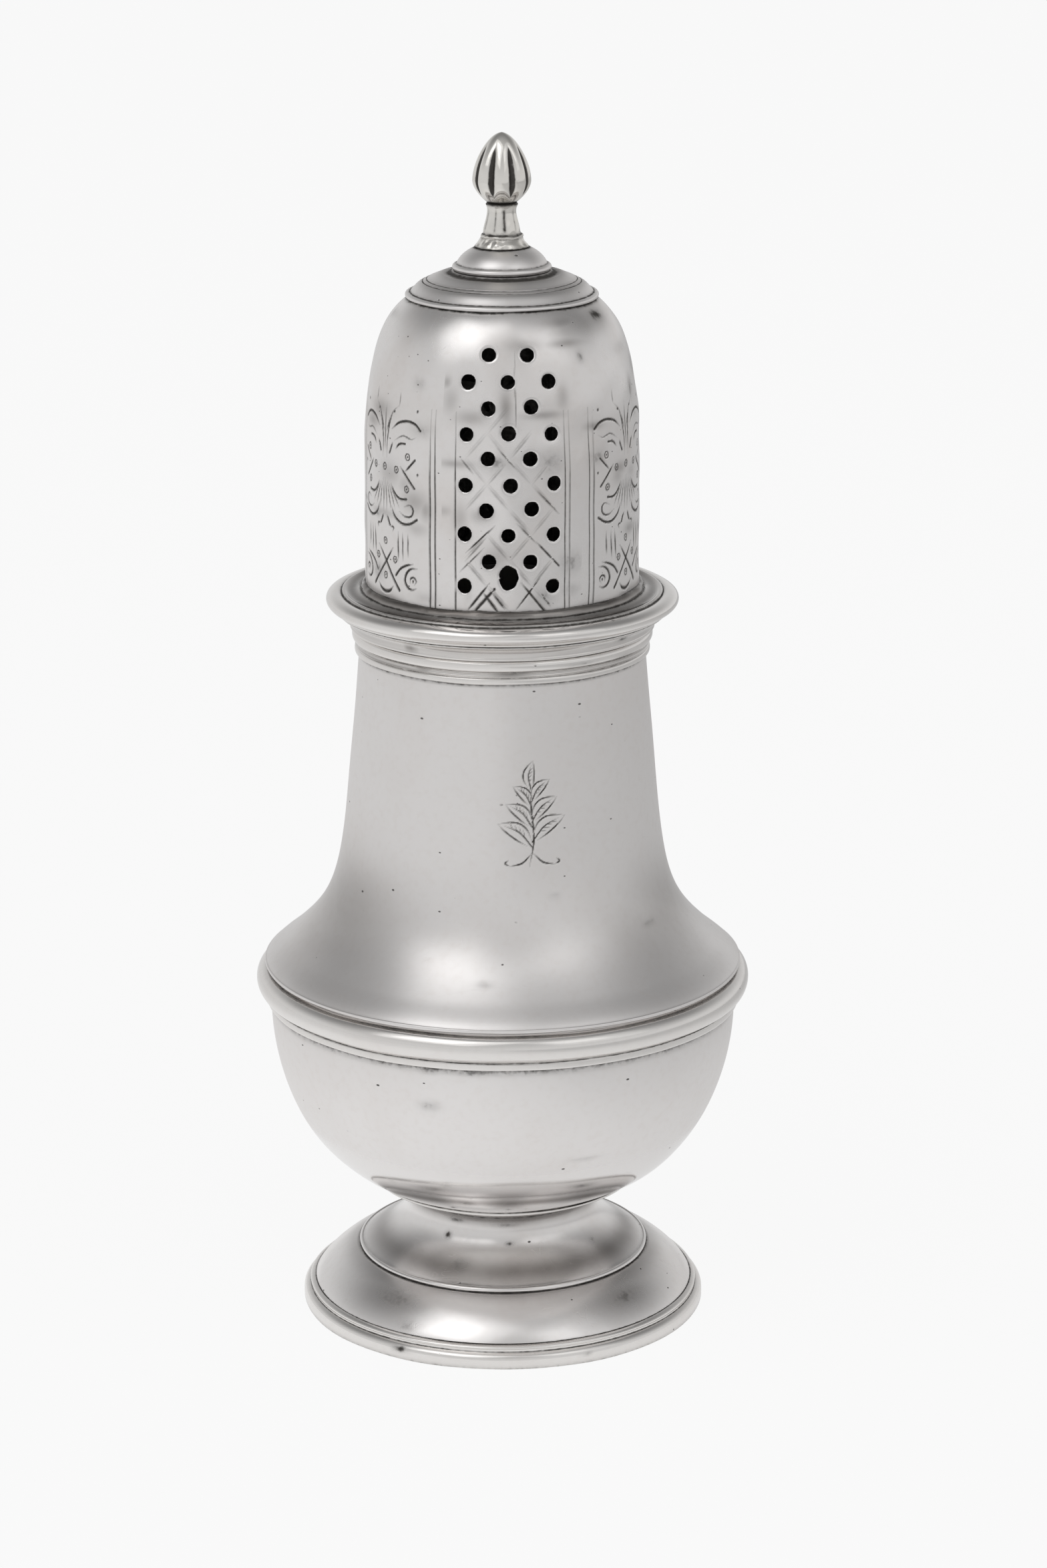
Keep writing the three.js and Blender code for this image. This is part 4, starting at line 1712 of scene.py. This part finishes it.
@dataclass(frozen=True)
class TrellisOrnament:
    """The engraving of a pierced panel: a worn trellis between the holes and bold crossed straps below.

    The trellis crosses midway between the holes, where column and row add up to an odd number.
    """

    column: float = 3.24
    row: float = 3.75
    first_row: float = 6.0
    rows: int = 7
    half_width: float = 7.5
    worn_share: float = 0.3
    double_gap: float = 0.48
    seed: int = 12

    def strokes(self) -> list[Stroke]:
        """Draws one pierced panel: the lattice, what wear has spared of it, and the straps at the foot.

        Returns:
            Its cuts.
        """
        return [
            *self.trellis(),
            Stroke(((3.9, 12.6), (7.4, 8.8)), 0.4, 0.11, Taper.START),
            Stroke(((3.8, 20.4), (7.4, 16.5)), 0.36, 0.09),
            Stroke(((-6.4, 11.0), (-2.1, 15.1)), 0.36, 0.09),
            Stroke(((-2.0, 26.8), (1.2, 23.1)), 0.3, 0.07),
            Stroke(((-7.2, 24.9), (-5.2, 22.6)), 0.3, 0.06),
            Stroke(((1.0, 15.5), (4.1, 12.2)), 0.3, 0.07),
            Stroke(((-7.4, 8.0), (-3.7, 11.8)), 0.3, 0.06),
            Stroke(((-6.3, 2.2), (-2.9, 6.6)), 0.42, 0.11),
            Stroke(((-5.5, 1.8), (-2.2, 5.7)), 0.5, 0.13, Taper.START),
            Stroke(((-3.8, 5.1), (-1.5, 1.9)), 0.5, 0.13),
            Stroke(((-2.5, 5.2), (-0.7, 2.7)), 0.44, 0.11),
            Stroke(((1.7, 6.6), (5.4, 1.9)), 0.46, 0.12, Taper.START),
            Stroke(((0.7, 2.3), (4.9, 7.8)), 0.34, 0.09),
            Stroke(((4.6, 5.0), (6.1, 2.9)), 0.44, 0.11),
        ]

    def trellis(self) -> list[Stroke]:
        """Draws the lattice from crossing to crossing, some of it worn away and fainter higher up.

        Returns:
            Its cuts.
        """
        dice = random.Random(self.seed)
        cuts = []
        for slant in (-1, 1):
            for column in range(-2, 2):
                for row in range(self.rows):
                    wear = dice.random()
                    if (column + row) % 2 == 0 or wear < self.worn_share:
                        continue
                    depth = (0.018 + 0.032 * wear) * (1.0 - 0.5 * row / self.rows)
                    cuts.extend(self.bar(column, row, slant, depth))
        return cuts

    def bar(self, column: int, row: int, slant: int, depth: float) -> list[Stroke]:
        """Draws two close cuts from one crossing to the next on the right.

        Args:
            column: the column of the first crossing.
            row: its row.
            slant: 1 for a rise and -1 for a fall.
            depth: how deep the first cut is.

        Returns:
            The cuts, which end at the panel's frame.
        """
        left = max(column * self.column, -self.half_width)
        right = min((column + 1) * self.column, self.half_width)
        ends = []
        for across in (left, right):
            level = self.first_row + (row + slant * (across / self.column - column)) * self.row
            ends.append((across, level))
        first = Stroke(tuple(ends), 0.36, depth)
        return [first, Stroke(tuple(ends), 0.32, depth * 0.6).moved(0.0, self.double_gap)]


@dataclass(frozen=True)
class Crown:
    """The flat crown of the dome under its cap."""

    rise: float = 1.0
    width: float = 2.3
    cap_proud: float = 0.4


@dataclass
class Dome:
    """The dome of the cover: six panels of one sheet, every other one pierced, all engraved."""

    shop: Workshop
    turn: float = 3.0
    wall: float = 0.7
    first_panel: float = -28.5
    panel_angle: float = 60.0
    straight: float = 20.0
    crown: Crown = Crown()
    spacing: float = 0.158
    plain_spacing: float = 0.5
    columns: int = 136
    hole_size: float = 1.0
    hole_angle: float = 9.1
    first_hole: float = 6.0
    row_pitch: float = 3.75
    rows: int = 10
    worn_size: Point = (1.35, 1.75)
    rim_round: float = 0.4
    rim_drop: float = 0.13
    rim_reach: float = 0.5
    dish_reach: float = 1.3
    dish_depth: float = 0.05
    cut_free: float = 0.7
    edge_tarnish: Point = (0.18, 0.4)
    edge_polish: Point = (0.8, 0.6)
    angle_play: float = 0.7
    height_play: float = 0.22
    size_play: Point = (0.97, 1.04)
    raggedness: float = 0.012
    line_ends: Point = (0.9, 31.5)
    line_width: float = 0.3
    pierced_lines: tuple[Point, ...] = ((-22.4, 0.09), (23.6, 0.09), (25.7, 0.06))
    blind_lines: tuple[Point, ...] = ((-24.5, 0.11), (-22.1, 0.06), (26.1, 0.08), (28.5, 0.11))
    front_scratch: Stroke = Stroke(((1.1, 41.0), (0.9, 36.5), (1.0, 31.0), (0.9, 27.5)), 0.22, 0.05)
    work: HandWork = HandWork(0.05, 9.0, seed=21)
    smudge_count: int = 15
    side: DomeSide = field(init=False)

    def build(self) -> None:
        """Makes the six panels."""
        outline = self.outline()
        self.side = DomeSide(np.array(outline.points))
        for panel in range(round(360.0 / self.panel_angle)):
            kind = PanelKind.PIERCED if panel % 2 == 0 else PanelKind.BLIND
            self.panel(panel, kind, outline)

    def outline(self) -> Outline:
        """Draws the outer side of the dome from its foot to the edge of the crown.

        Returns:
            The template.
        """
        place = self.shop.place("pierced_dome")
        seat = place.high - self.crown.rise
        rest = self.shop.place("cover_cap").radius - self.crown.cap_proud
        edge, spring = place.radius, place.low + self.straight
        width, rise = edge - rest, seat - spring
        outline = Outline((edge, place.low), (edge, spring), ring=False).bend(
            (edge, spring + rise * 0.735), (rest + width * 0.48, spring + rise * 0.905), (rest, seat), 60
        )
        outline.to((rest - self.crown.width, place.high))
        cut_top = seat - self.row_pitch

        def spacing(_: float, height: float) -> float:
            """Fine steps wherever the sheet is engraved or pierced."""
            return self.spacing if height < cut_top else self.plain_spacing

        return outline.refined(spacing)

    def holes(self, panel: int) -> list[Hole]:
        """Places the holes of a pierced panel, each a little off as a hand-punched hole is.

        Args:
            panel: its number.

        Returns:
            The holes, one of which is torn on the front panel.
        """
        dice = random.Random(100 + panel)
        middle = self.turn + panel * self.panel_angle
        holes = []
        for row in range(self.rows):
            count = 3 if row % 2 == 0 else 2
            for column in range(count):
                angle = middle + (2 * column - (count - 1)) * self.hole_angle
                angle += dice.uniform(-self.angle_play, self.angle_play)
                up = self.first_hole + row * self.row_pitch
                up += dice.uniform(-self.height_play, self.height_play)
                if (panel, row, column) == (0, 0, 1):
                    holes.append(Hole(angle - 0.3, up + 1.2, *self.worn_size, 0.035, 1.0))
                    continue
                size = self.hole_size * dice.uniform(*self.size_play)
                tall = size * dice.uniform(*self.size_play)
                holes.append(Hole(angle, up, size, tall, self.raggedness, dice.uniform(0, 6)))
        return holes

    def panel(self, panel: int, kind: PanelKind, outline: Outline) -> None:
        """Makes one panel.

        Args:
            panel: its number, from the front towards the right.
            kind: pierced or blind.
            outline: the dome's outer side.
        """
        middle = self.turn + panel * self.panel_angle
        start = self.turn + self.first_panel + panel * self.panel_angle
        name = f"dome_panel_{kind.value}_{panel + 1}"
        surface = Surface(name, outline, [Sector(self.panel_angle, self.columns)], start)
        holes = self.holes(panel) if kind is PanelKind.PIERCED else []
        self._punch(surface.bm, holes)
        dome, cap = self.shop.place("pierced_dome"), self.shop.place("cover_cap")
        marks = [
            Crevice(cap.radius - self.crown.cap_proud, cap.low, 0.55),
            Crevice(dome.radius, self.shop.place("cover_flange").high + 0.9, 0.35, 0.55),
            *self.smudges(middle, cap.low),
        ]
        strokes = self.strokes(kind)
        if panel == 0:
            strokes.append(self.front_scratch)

        def shape(relief: Relief) -> None:
            """Cuts the ornament and dishes the holes.

            Args:
                relief: the surface.
            """
            across = np.radians(relief.swing(middle)) * dome.radius
            everywhere = np.ones(len(across), bool)
            Engraving(strokes).cut(relief, across, relief.spots[:, 2] - dome.low, everywhere)
            for hole in holes:
                self._dish(relief, hole)

        piece = surface.finish(marks, self.work, shape)
        shell = piece.modifiers.new("sheet", "SOLIDIFY")
        shell.thickness = self.wall * MM
        shell.offset = -1.0
        shell.use_rim = True
        # The inner side and the rim take the second material, near-black as painted shade.
        shell.material_offset = 1
        shell.material_offset_rim = 1
        self.shop.dresser.dress(piece, [SHEET, SHADED_INSIDE], self.shop.body, "pierced_dome")

    def smudges(self, middle: float, top: float) -> list[TarnishAndShadePatch]:
        """The tarnish of a panel: the patches that show in the photograph, and random ones all round.

        Args:
            middle: the panel's middle, as an angle in degrees.
            top: the height of the cap's rim.

        Returns:
            The patches.
        """
        dice = random.Random(int(middle) + 900)
        patches = [
            TarnishAndShadePatch(62.0, top - 1.5, 1.7, 0.8, 0.85),
            TarnishAndShadePatch(48.0, top - 2.2, 5.0, 1.6, 0.35, smooth=True),
            TarnishAndShadePatch(33.0, top - 1.6, 3.4, 0.7, 0.42, smooth=True),
            TarnishAndShadePatch(31.0, top - 4.3, 3.0, 0.6, 0.46, smooth=True),
            TarnishAndShadePatch(38.0, top - 6.3, 0.7, 0.9, 0.55),
            TarnishAndShadePatch(1.5, top - 12.9, 1.0, 2.6, 0.55, smooth=True),
            TarnishAndShadePatch(-13.0, top - 14.3, 2.4, 1.1, 0.4, smooth=True),
            TarnishAndShadePatch(12.0, top - 4.2, 2.8, 0.9, 0.36, smooth=True),
        ]
        for _ in range(self.smudge_count):
            angle = middle + dice.uniform(-0.5, 0.5) * self.panel_angle
            height = top - dice.uniform(2.0, 42.0)
            size = (dice.uniform(0.6, 3.0), dice.uniform(0.5, 2.0))
            patches.append(TarnishAndShadePatch(angle, height, *size, dice.uniform(0.2, 0.5), smooth=dice.random() < 0.6))
        return patches

    def strokes(self, kind: PanelKind) -> list[Stroke]:
        """Draws a panel: its ornament and the upright lines of its frame.

        Args:
            kind: pierced or blind.

        Returns:
            The cuts.
        """
        pierced = kind is PanelKind.PIERCED
        cuts = TrellisOrnament().strokes() if pierced else StrapOrnament().strokes()
        radius = self.shop.place("pierced_dome").radius
        for angle, depth in self.pierced_lines if pierced else self.blind_lines:
            across = math.radians(angle) * radius
            ends = tuple((across, end) for end in self.line_ends)
            cuts.append(Stroke(ends, self.line_width, depth, Taper.END))
        return cuts

    def _punch(self, bm: bmesh.types.BMesh, holes: Sequence[Hole]) -> None:
        """Opens the holes of a panel and brings the sheet's edge to each hole's own outline.

        Args:
            bm: the sheet.
            holes: the holes.
        """
        faces = list(bm.faces)
        middles = np.array([face.calc_center_median() for face in faces]) / MM
        gone = np.zeros(len(faces), bool)
        for hole in holes:
            gone |= self.side.past_edge(middles, hole)[0] < 0.0
        bmesh.ops.delete(bm, geom=[faces[i] for i in np.flatnonzero(gone)], context="FACES")
        rim = [vert for vert in bm.verts if vert.is_boundary]
        spots = np.array([vert.co for vert in rim]) / MM
        for hole in holes:
            past, edge = self.side.past_edge(spots, hole)
            middle = self.side.middle(hole)[0]
            for i in np.flatnonzero(past < self.rim_reach):
                moved = middle + (spots[i] - middle) * edge[i] / (edge[i] + past[i])
                flat = math.hypot(moved[0], moved[1])
                radius = float(self.side.radius(moved[2:])[0])
                rim[i].co = Vector((moved[0] * radius / flat, moved[1] * radius / flat, moved[2])) * MM

    def _dish(self, relief: Relief, hole: Hole) -> None:
        """Rounds a hole's edge inwards, dishes the sheet about it, and dulls and burnishes the edge.

        Args:
            relief: the sheet.
            hole: the hole.
        """
        past = np.clip(self.side.past_edge(relief.spots, hole)[0], 0.0, None)
        rounded = self.rim_drop * np.clip(1.0 - past / self.rim_round, 0.0, 1.0) ** 2
        relief.raise_by(-rounded - fading(past, self.dish_depth, self.dish_reach))
        relief.cut *= np.clip(past / self.cut_free, 0.0, 1.0)
        relief.darken(fading(past, *self.edge_tarnish))
        relief.polish = np.maximum(relief.polish, fading(past, *self.edge_polish))


@dataclass
class Cover:
    """The cover below and above its dome: sleeve, flange, foot wire, cap, plinth and finial."""

    shop: Workshop
    sleeve_wall: float = 0.7
    wire_width: float = 0.8
    torus: Point = (1.6, 1.15)
    cap_wall: float = 0.8
    crown: Crown = Crown()
    line_radii: Point = (11.65, 11.05)
    line_depth: float = 0.09
    stem_waist: float = 2.1
    skirt_rise: float = 1.6
    shaft_foot: float = 2.85
    flats: int = 9
    flat_depth: float = 0.045
    # Painted dark reflection streaks on the shaft: angle, strength and reach, in degrees.
    painted_reflection_streaks: tuple[tuple[float, float, float], ...] = (
        (9.0, 0.85, 7.0),
        (-24.0, 0.6, 4.0),
        (52.0, 0.5, 5.0),
        (-68.0, 0.45, 6.0),
        (120.0, 0.6, 8.0),
        (-140.0, 0.7, 7.0),
    )
    lobes: int = 8
    groove_depth: float = 0.16

    def build(self) -> None:
        """Makes the pieces of the cover other than its dome."""
        self.sleeve()
        self.flange()
        self.foot_wire()
        self.cap()
        self.plinth()
        self.stem()
        self.bud()

    def sleeve(self) -> None:
        """The plain bezel that slips into the neck."""
        place = self.shop.place("cover_sleeve")
        inner, outer = place.radius - self.sleeve_wall, place.radius
        outline = Outline((inner, place.low), (outer, place.low), (outer, place.high), (inner, place.high))
        self.shop.turned("cover_sleeve", outline, [], SATIN, 0.25, shape=Relief.mark_inside)

    def flange(self) -> None:
        """The bold torus with a ridge below it, and the hollow between it and the dome."""
        place = self.shop.place("cover_flange")
        dome = self.shop.place("pierced_dome").radius
        rim = self.shop.place("neck_moulding").radius
        low, top = place.low, place.high
        axis = place.radius - self.torus[0]
        hollow = dome + self.wire_width
        ridge, back, well = Corner(rim, low), Corner(axis, top), Corner(hollow, top)
        outline = (
            Outline((dome, low), (rim, low))
            .bead(ridge(0.05, 0.29), (0.5, 0.28), -80, 75, 10)
            .to(ridge(0.1, 0.62))
            .bead((axis, low + place.rise * 0.5), self.torus, -88, 112, 36)
            .to(back(-0.72, -0.62), back(-0.8, -0.34))
            .bend(back(-0.85, -0.16), back(-1.1, -0.14), back(-1.3, -0.22), 6)
            .bend(back(-1.9, -0.75), well(0.6, -0.6), well(0.05, -0.05), 14)
            .to((hollow, top), (dome, top))
        )
        pool = Corner((axis + hollow) / 2, top)
        marks = [
            Crevice(rim, low, 0.16, 0.75),
            Crevice(*ridge(0.1, 0.62), 0.15, 0.7),
            Crevice(*back(-0.72, -0.58), 0.28, 0.95),
            Crevice(*pool(-0.6, -0.6), 1.5, 0.95, smooth=True),
            Crevice(*pool(-0.6, -0.62), 0.7, 0.35),
            Crevice(hollow, top, 0.3, 0.85),
        ]
        self.shop.turned("cover_flange", outline, marks, BRIGHT, 0.04)

    def foot_wire(self) -> None:
        """The small uneven bead of solder and wire round the dome's foot."""
        place = self.shop.place("dome_foot_wire")
        dome = self.shop.place("pierced_dome").radius
        foot = (dome, place.low)
        outline = Outline(foot).bead(foot, (self.wire_width, place.rise), 0, 90, 12)
        marks = [
            Crevice(place.radius, place.low, 0.25, 0.8),
            Crevice(dome, place.high, 0.4, 0.75),
            Crevice((dome + place.radius) / 2, place.high - 0.3, 1.2, 0.95, smooth=True),
        ]
        work = HandWork(0.06, 3.5, 18, seed=5)
        self.shop.turned("dome_foot_wire", outline, marks, BRIGHT, 0.02, work=work)

    def cap(self) -> None:
        """The turned plate over the crown, with a beaded rim and two incised lines."""
        place = self.shop.place("cover_cap")
        plinth = self.shop.place("finial_plinth").radius
        seat, top = place.low, place.high
        rest = place.radius - self.crown.cap_proud
        opening = rest - self.crown.width
        at = Corner(plinth, seat, place.radius - plinth, place.rise)
        edge_bead = (self.crown.cap_proud, place.rise * 0.09)
        outline = (
            Outline((0.0, top - self.cap_wall), (plinth, top - self.cap_wall))
            .to((opening, seat + self.crown.rise * 1.25), (opening, seat + self.crown.rise), (rest, seat))
            .bead((rest, seat + edge_bead[1]), edge_bead, -70, 100, 12)
            .to((rest - 0.32, at(0.0, 0.19)[1]))
            .bend(at(0.83, 0.3), at(0.78, 0.44), at(0.7, 0.53), 10)
            .to(at(0.5, 0.71))
        )
        for radius in self.line_radii:
            outline.notch(radius, self.line_depth, 0.14)
        outline.bend(at(0.38, 0.79), at(0.28, 0.88), at(0.22, 0.9), 8)
        outline.bend(at(0.14, 0.88), at(0.06, 0.86), (plinth, top), 8).to((0.0, top))
        marks = [
            Crevice(rest - 0.3, at(0.0, 0.19)[1], 0.22),
            Crevice(rest, seat, 0.3),
            *(Crevice(line, self._cap_level(line, place, plinth), 0.12, 0.85) for line in self.line_radii),
            # Painted shadow on the cap under the plinth's bead: a narrow dark ring at the joint, also
            # tarnish there, and a broad smooth film.
            Crevice(*at(0.06, 0.92), 0.55, 1.0),
            Crevice(*at(0.12, 0.88), 1.3, 0.7, smooth=True),
            Crevice(*at(0.64, 0.6), 0.9, 0.3, smooth=True),
        ]
        self.shop.turned("cover_cap", outline, marks, SATIN, 0.04)

    @staticmethod
    def _cap_level(radius: float, place: Place, plinth: float) -> float:
        """Works out the height of the cap's straight stretch, where its lines are cut.

        Args:
            radius: where on the stretch.
            place: the cap's place.
            plinth: the radius of the plinth on it.

        Returns:
            The height.
        """
        width = place.radius - plinth
        share = (plinth + width * 0.7 - radius) / (width * 0.2)
        return place.low + place.rise * (0.53 + 0.18 * share) - 0.05

    def plinth(self) -> None:
        """The small domed mount of the finial."""
        place = self.shop.place("finial_plinth")
        stem = self.shop.place("finial_stem").radius
        low, top = place.low, place.high
        foot, at = Corner(place.radius, low), Corner(stem, low, place.radius - stem, place.rise)
        outline = (
            Outline((0.0, low), foot(-0.4, 0.0))
            .bead(foot(-0.5, 0.5), (0.5, 0.5), -75, 85, 14)
            .to(foot(-0.62, 1.03))
            .bend(at(0.74, 0.5), at(0.5, 0.8), (stem + 0.1, top), 18)
            .to((0.0, top))
        )
        marks = [Crevice(*foot(-0.3, 0.0)), Crevice(*foot(-0.6, 1.03), 0.22, 0.6), Crevice(stem, top, 0.35)]
        self.shop.turned("finial_plinth", outline, marks, SATIN, 0.04, steps=SMALL_STEPS)

    def stem(self) -> None:
        """The cast baluster on its flared skirt, lumpy with old solder at its foot."""
        place = self.shop.place("finial_stem")
        low, top, edge, waist = place.low, place.high, place.radius, self.stem_waist
        ridge = low + self.skirt_rise
        foot, shaft = Corner(edge, low), Corner(self.shaft_foot, ridge)
        neck, up = Corner(waist, top), Corner(waist, low, rise=place.rise)
        outline = (
            Outline((0.0, low), foot(-0.1, 0.0), foot(0.0, 0.12))
            .bend(foot(-0.25, 0.45), (self.shaft_foot + 0.35, low + 0.9), shaft(0.2, -0.2), 12)
            .bead(shaft(0.0, 0.05), (0.22, 0.24), -50, 75, 8)
            .to(shaft(-0.08, 0.36))
            .bend((self.shaft_foot - 0.2, up(0.0, 0.5)[1]), up(0.05, 0.66), up(0.0, 0.82), 14)
            .bend(up(0.0, 0.9), neck(0.2, -0.45), neck(0.26, -0.2), 6)
            .to(neck(0.1, 0.0), (0.0, top))
        )
        marks = [
            Crevice(edge, low, 0.28),
            Crevice(*shaft(0.2, -0.2), 0.2, 0.55),
            Crevice(*shaft(-0.05, 0.34), 0.3, 0.85),
            Crevice(*neck(0.1, 0.0), 0.42, 1.0),
        ]
        lumps = HandWork(0.07, 1.7, 24, seed=9)

        def solder(relief: Relief) -> None:
            """Raises lumps of solder on the skirt, files the shaft to faint flats and paints dark reflection
            streaks on it.

            Args:
                relief: the surface.
            """
            height = relief.spots[:, 2]
            on_skirt = ease(height, low + 0.1, low + 0.6) * (1.0 - ease(height, ridge - 0.1, ridge + 0.8))
            on_shaft = ease(height, ridge + 0.5, ridge + 1.2) * (1.0 - ease(height, top - 1.2, top - 0.4))
            flats = self.flat_depth * np.cos(np.radians(relief.angle) * self.flats + 0.5)
            relief.raise_by(lumps.offset(relief.spots) * on_skirt + flats * on_shaft)
            # Paints the streaks of dark reflection.
            for angle, strength, reach in self.painted_reflection_streaks:
                relief.darken(fading(relief.swing(angle), strength, reach) * on_shaft)

        work = HandWork(0.03, 4.0, seed=4)
        self.shop.turned("finial_stem", outline, marks, CAST, 0.03, shape=solder, work=work)

    def bud(self) -> None:
        """The cast bud with its eight lobes."""
        place = self.shop.place("finial_bud")
        low, edge, rise = place.low, place.radius, place.rise
        at = Corner(0.0, low, edge, rise)
        outline = Outline((0.0, low), (self.stem_waist * 0.95, low))
        outline.bend(at(0.6, 0.03), at(0.98, 0.17), at(1.0, 0.31), 22)
        outline.bend(at(1.0, 0.55), at(0.52, 0.97), (0.0, place.high), 48)

        def flute(relief: Relief) -> None:
            """Presses the grooves in between the lobes, thin towards both ends, and paints them dark:
            painted shade with tarnish.

            Args:
                relief: the surface.
            """
            up = (relief.spots[:, 2] - low) / rise
            ends = ease(up, 0.02, 0.3) * (1.0 - ease(up, 0.6, 0.92))
            valley = 1.0 - np.abs(np.cos(np.radians(relief.angle * self.lobes / 2)))
            relief.spots[:, :2] *= (1.0 - self.groove_depth * valley**1.3 * ends)[:, None]
            # Painted shade and tarnish in the grooves, widest in the middle.
            relief.tarnish_and_shade = np.clip((valley * np.sqrt(ends) - 0.42) * 5.0, 0.0, 1.0)

        marks, work = [Crevice(self.stem_waist, low, 0.7, 1.0)], HandWork(0.02, 6.0)
        self.shop.turned("finial_bud", outline, marks, CAST, 0.02, shape=flute, work=work, steps=256)


@dataclass(frozen=True)
class SoftBox:
    """A soft box that looks at the caster: its direction in degrees, its distance, size and brightness."""

    name: str
    azimuth: float
    elevation: float
    distance: float
    width: float
    height: float
    radiance: float
    target: tuple[float, float, float] = (0.0, 0.0, 0.09)

    def place(self) -> None:
        """Puts the soft box in the scene."""
        azimuth, elevation = math.radians(self.azimuth), math.radians(self.elevation)
        flat = math.cos(elevation)
        away = Vector((math.sin(azimuth) * flat, -math.cos(azimuth) * flat, math.sin(elevation)))
        light = bpy.data.lights.new(self.name, "AREA")
        light.shape = "RECTANGLE"
        light.size = self.width
        light.size_y = self.height
        light.energy = self.radiance * math.pi * self.width * self.height
        spot = Vector(self.target) + away * self.distance
        turn = (-away).to_track_quat("-Z", "Y").to_matrix().to_4x4()
        placed(self.name, light).matrix_world = Matrix.Translation(spot) @ turn


@dataclass
class Studio:
    """The camera of the photograph, a pale floor, a plain world and soft boxes with brighter middles."""

    distance: float = 0.65
    eye_height: float = 0.2712
    pitch: float = 16.18
    yaw: float = 0.28
    focal_pixels: float = 6691.0
    frame_height: int = 2349
    sensor: float = 36.0
    floor_radius: float = 4.0
    floor_grey: float = 0.86
    seen_share: float = 0.9
    seen_world: float = 0.935
    # Shares of the floor's painted glow in metal: everywhere, near the caster and on its left.
    painted_glow_far: float = 0.12
    painted_glow_near: float = 0.25
    painted_glow_left: float = 0.36
    near_reach: Point = (0.26, 0.06)
    left_reach: Point = (0.16, -0.06)
    back_reach: Point = (-0.5, 0.45)
    sky_reach: Point = (0.1, 0.79)
    horizon: float = 0.7
    front_sky: float = 0.54
    back_sky: float = 0.24
    soft_boxes: tuple[SoftBox, ...] = (
        SoftBox("key_box", -40.0, 54.0, 1.1, 0.92, 0.95, 0.4),
        SoftBox("key_middle", -42.0, 55.0, 1.08, 0.5, 0.55, 0.53),
        SoftBox("fill_box", 50.0, 44.0, 1.3, 1.0, 1.0, 0.16),
        SoftBox("fill_middle", 42.0, 46.0, 1.28, 0.46, 0.5, 0.26),
    )

    def build(self) -> None:
        """Sets the whole studio."""
        self.camera()
        self.floor()
        self.world()
        for box in self.soft_boxes:
            box.place()
        bpy.context.scene.view_settings.view_transform = "Standard"

    def camera(self) -> None:
        """The camera at the photograph's place, turned as it was."""
        lens = bpy.data.cameras.new("camera")
        lens.sensor_fit = "AUTO"
        lens.sensor_width = self.sensor
        lens.lens = self.focal_pixels * self.sensor / self.frame_height
        lens.clip_start = 0.01
        eye = placed("camera", lens)
        eye.location = (0.0, -self.distance, self.eye_height)
        eye.rotation_euler = (math.radians(90.0 - self.pitch), 0.0, math.radians(-self.yaw))
        bpy.context.scene.camera = eye

    def floor(self) -> None:
        """A wide pale disc under the caster, nearly white where it is seen, and with a painted glow in metal
        that is brighter near the caster and on its left.
        """
        bm = bmesh.new()
        bmesh.ops.create_circle(bm, cap_ends=True, radius=self.floor_radius, segments=96)
        mesh = bpy.data.meshes.new("floor")
        bm.to_mesh(mesh)
        bm.free()
        made = bpy.data.materials.new("pale_floor")
        made.use_nodes = True
        bench = ShaderBench(made.node_tree)
        path = bench.node("LightPath", {}, {})
        mirrored = path["Is Glossy Ray"].most(path["Is Transmission Ray"])
        spot = bench.place()
        away = bench.node("VectorMath", {"operation": "LENGTH"}, {0: spot})["Value"]
        across = bench.node("SeparateXYZ", {}, {0: spot})[0]
        # Painted glow seen in metal, brighter near the caster and on its left.
        near = away.step(*self.near_reach) * self.painted_glow_near
        left = across.step(*self.left_reach) * self.painted_glow_left
        painted_glow = mirrored * (near + left + self.painted_glow_far)
        share = (path["Is Camera Ray"] * self.seen_share).most(painted_glow)
        matt = bench.node("BsdfDiffuse", {}, {"Color": grey(self.floor_grey)})
        white = bench.node("Emission", {}, {"Color": grey(1.0), "Strength": 1.0})
        mixed = bench.node("MixShader", {}, {0: share, 1: matt[0], 2: white[0]})
        bench.node("OutputMaterial", {}, {"Surface": mixed[0]})
        mesh.materials.append(made)
        placed("floor", mesh)

    def world(self) -> None:
        """A plain studio: pale round the horizon, greyer above, and darkest high behind the caster."""
        world = bpy.data.worlds.new("studio")
        bpy.context.scene.world = world
        world.use_nodes = True
        bench = ShaderBench(world.node_tree)
        parts = bench.node("SeparateXYZ", {}, {0: bench.place("Generated")})
        sky = bench.mix(parts[1].step(*self.back_reach), grey(self.front_sky), grey(self.back_sky))
        plain = bench.mix(parts[2].step(*self.sky_reach), grey(self.horizon), sky)
        seen = bench.node("LightPath", {}, {})["Is Camera Ray"]
        colour = bench.mix(seen, plain, grey(self.seen_world))
        glow = bench.node("Background", {}, {"Color": colour, "Strength": 1.0})
        bench.node("OutputWorld", {}, {"Surface": glow[0]})


def grey(level: float) -> Colour:
    """A neutral colour."""
    return (level, level, level, 1.0)


def main() -> None:
    """Builds the studio and every piece of the caster."""
    logging.basicConfig(level=logging.INFO, format="%(name)s: %(message)s")
    bpy.ops.wm.read_factory_settings(use_empty=True)
    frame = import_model()
    Studio().build()
    shop = Workshop(frame, Body.CASTER)
    cover_shop = replace(shop, body=Body.COVER)
    for assembly in (Foot(shop), Bowl(shop), Bell(shop), Dome(cover_shop), Cover(cover_shop)):
        assembly.build()
        LOG.info("%s is built", type(assembly).__name__)


if __name__ == "__main__":
    main()
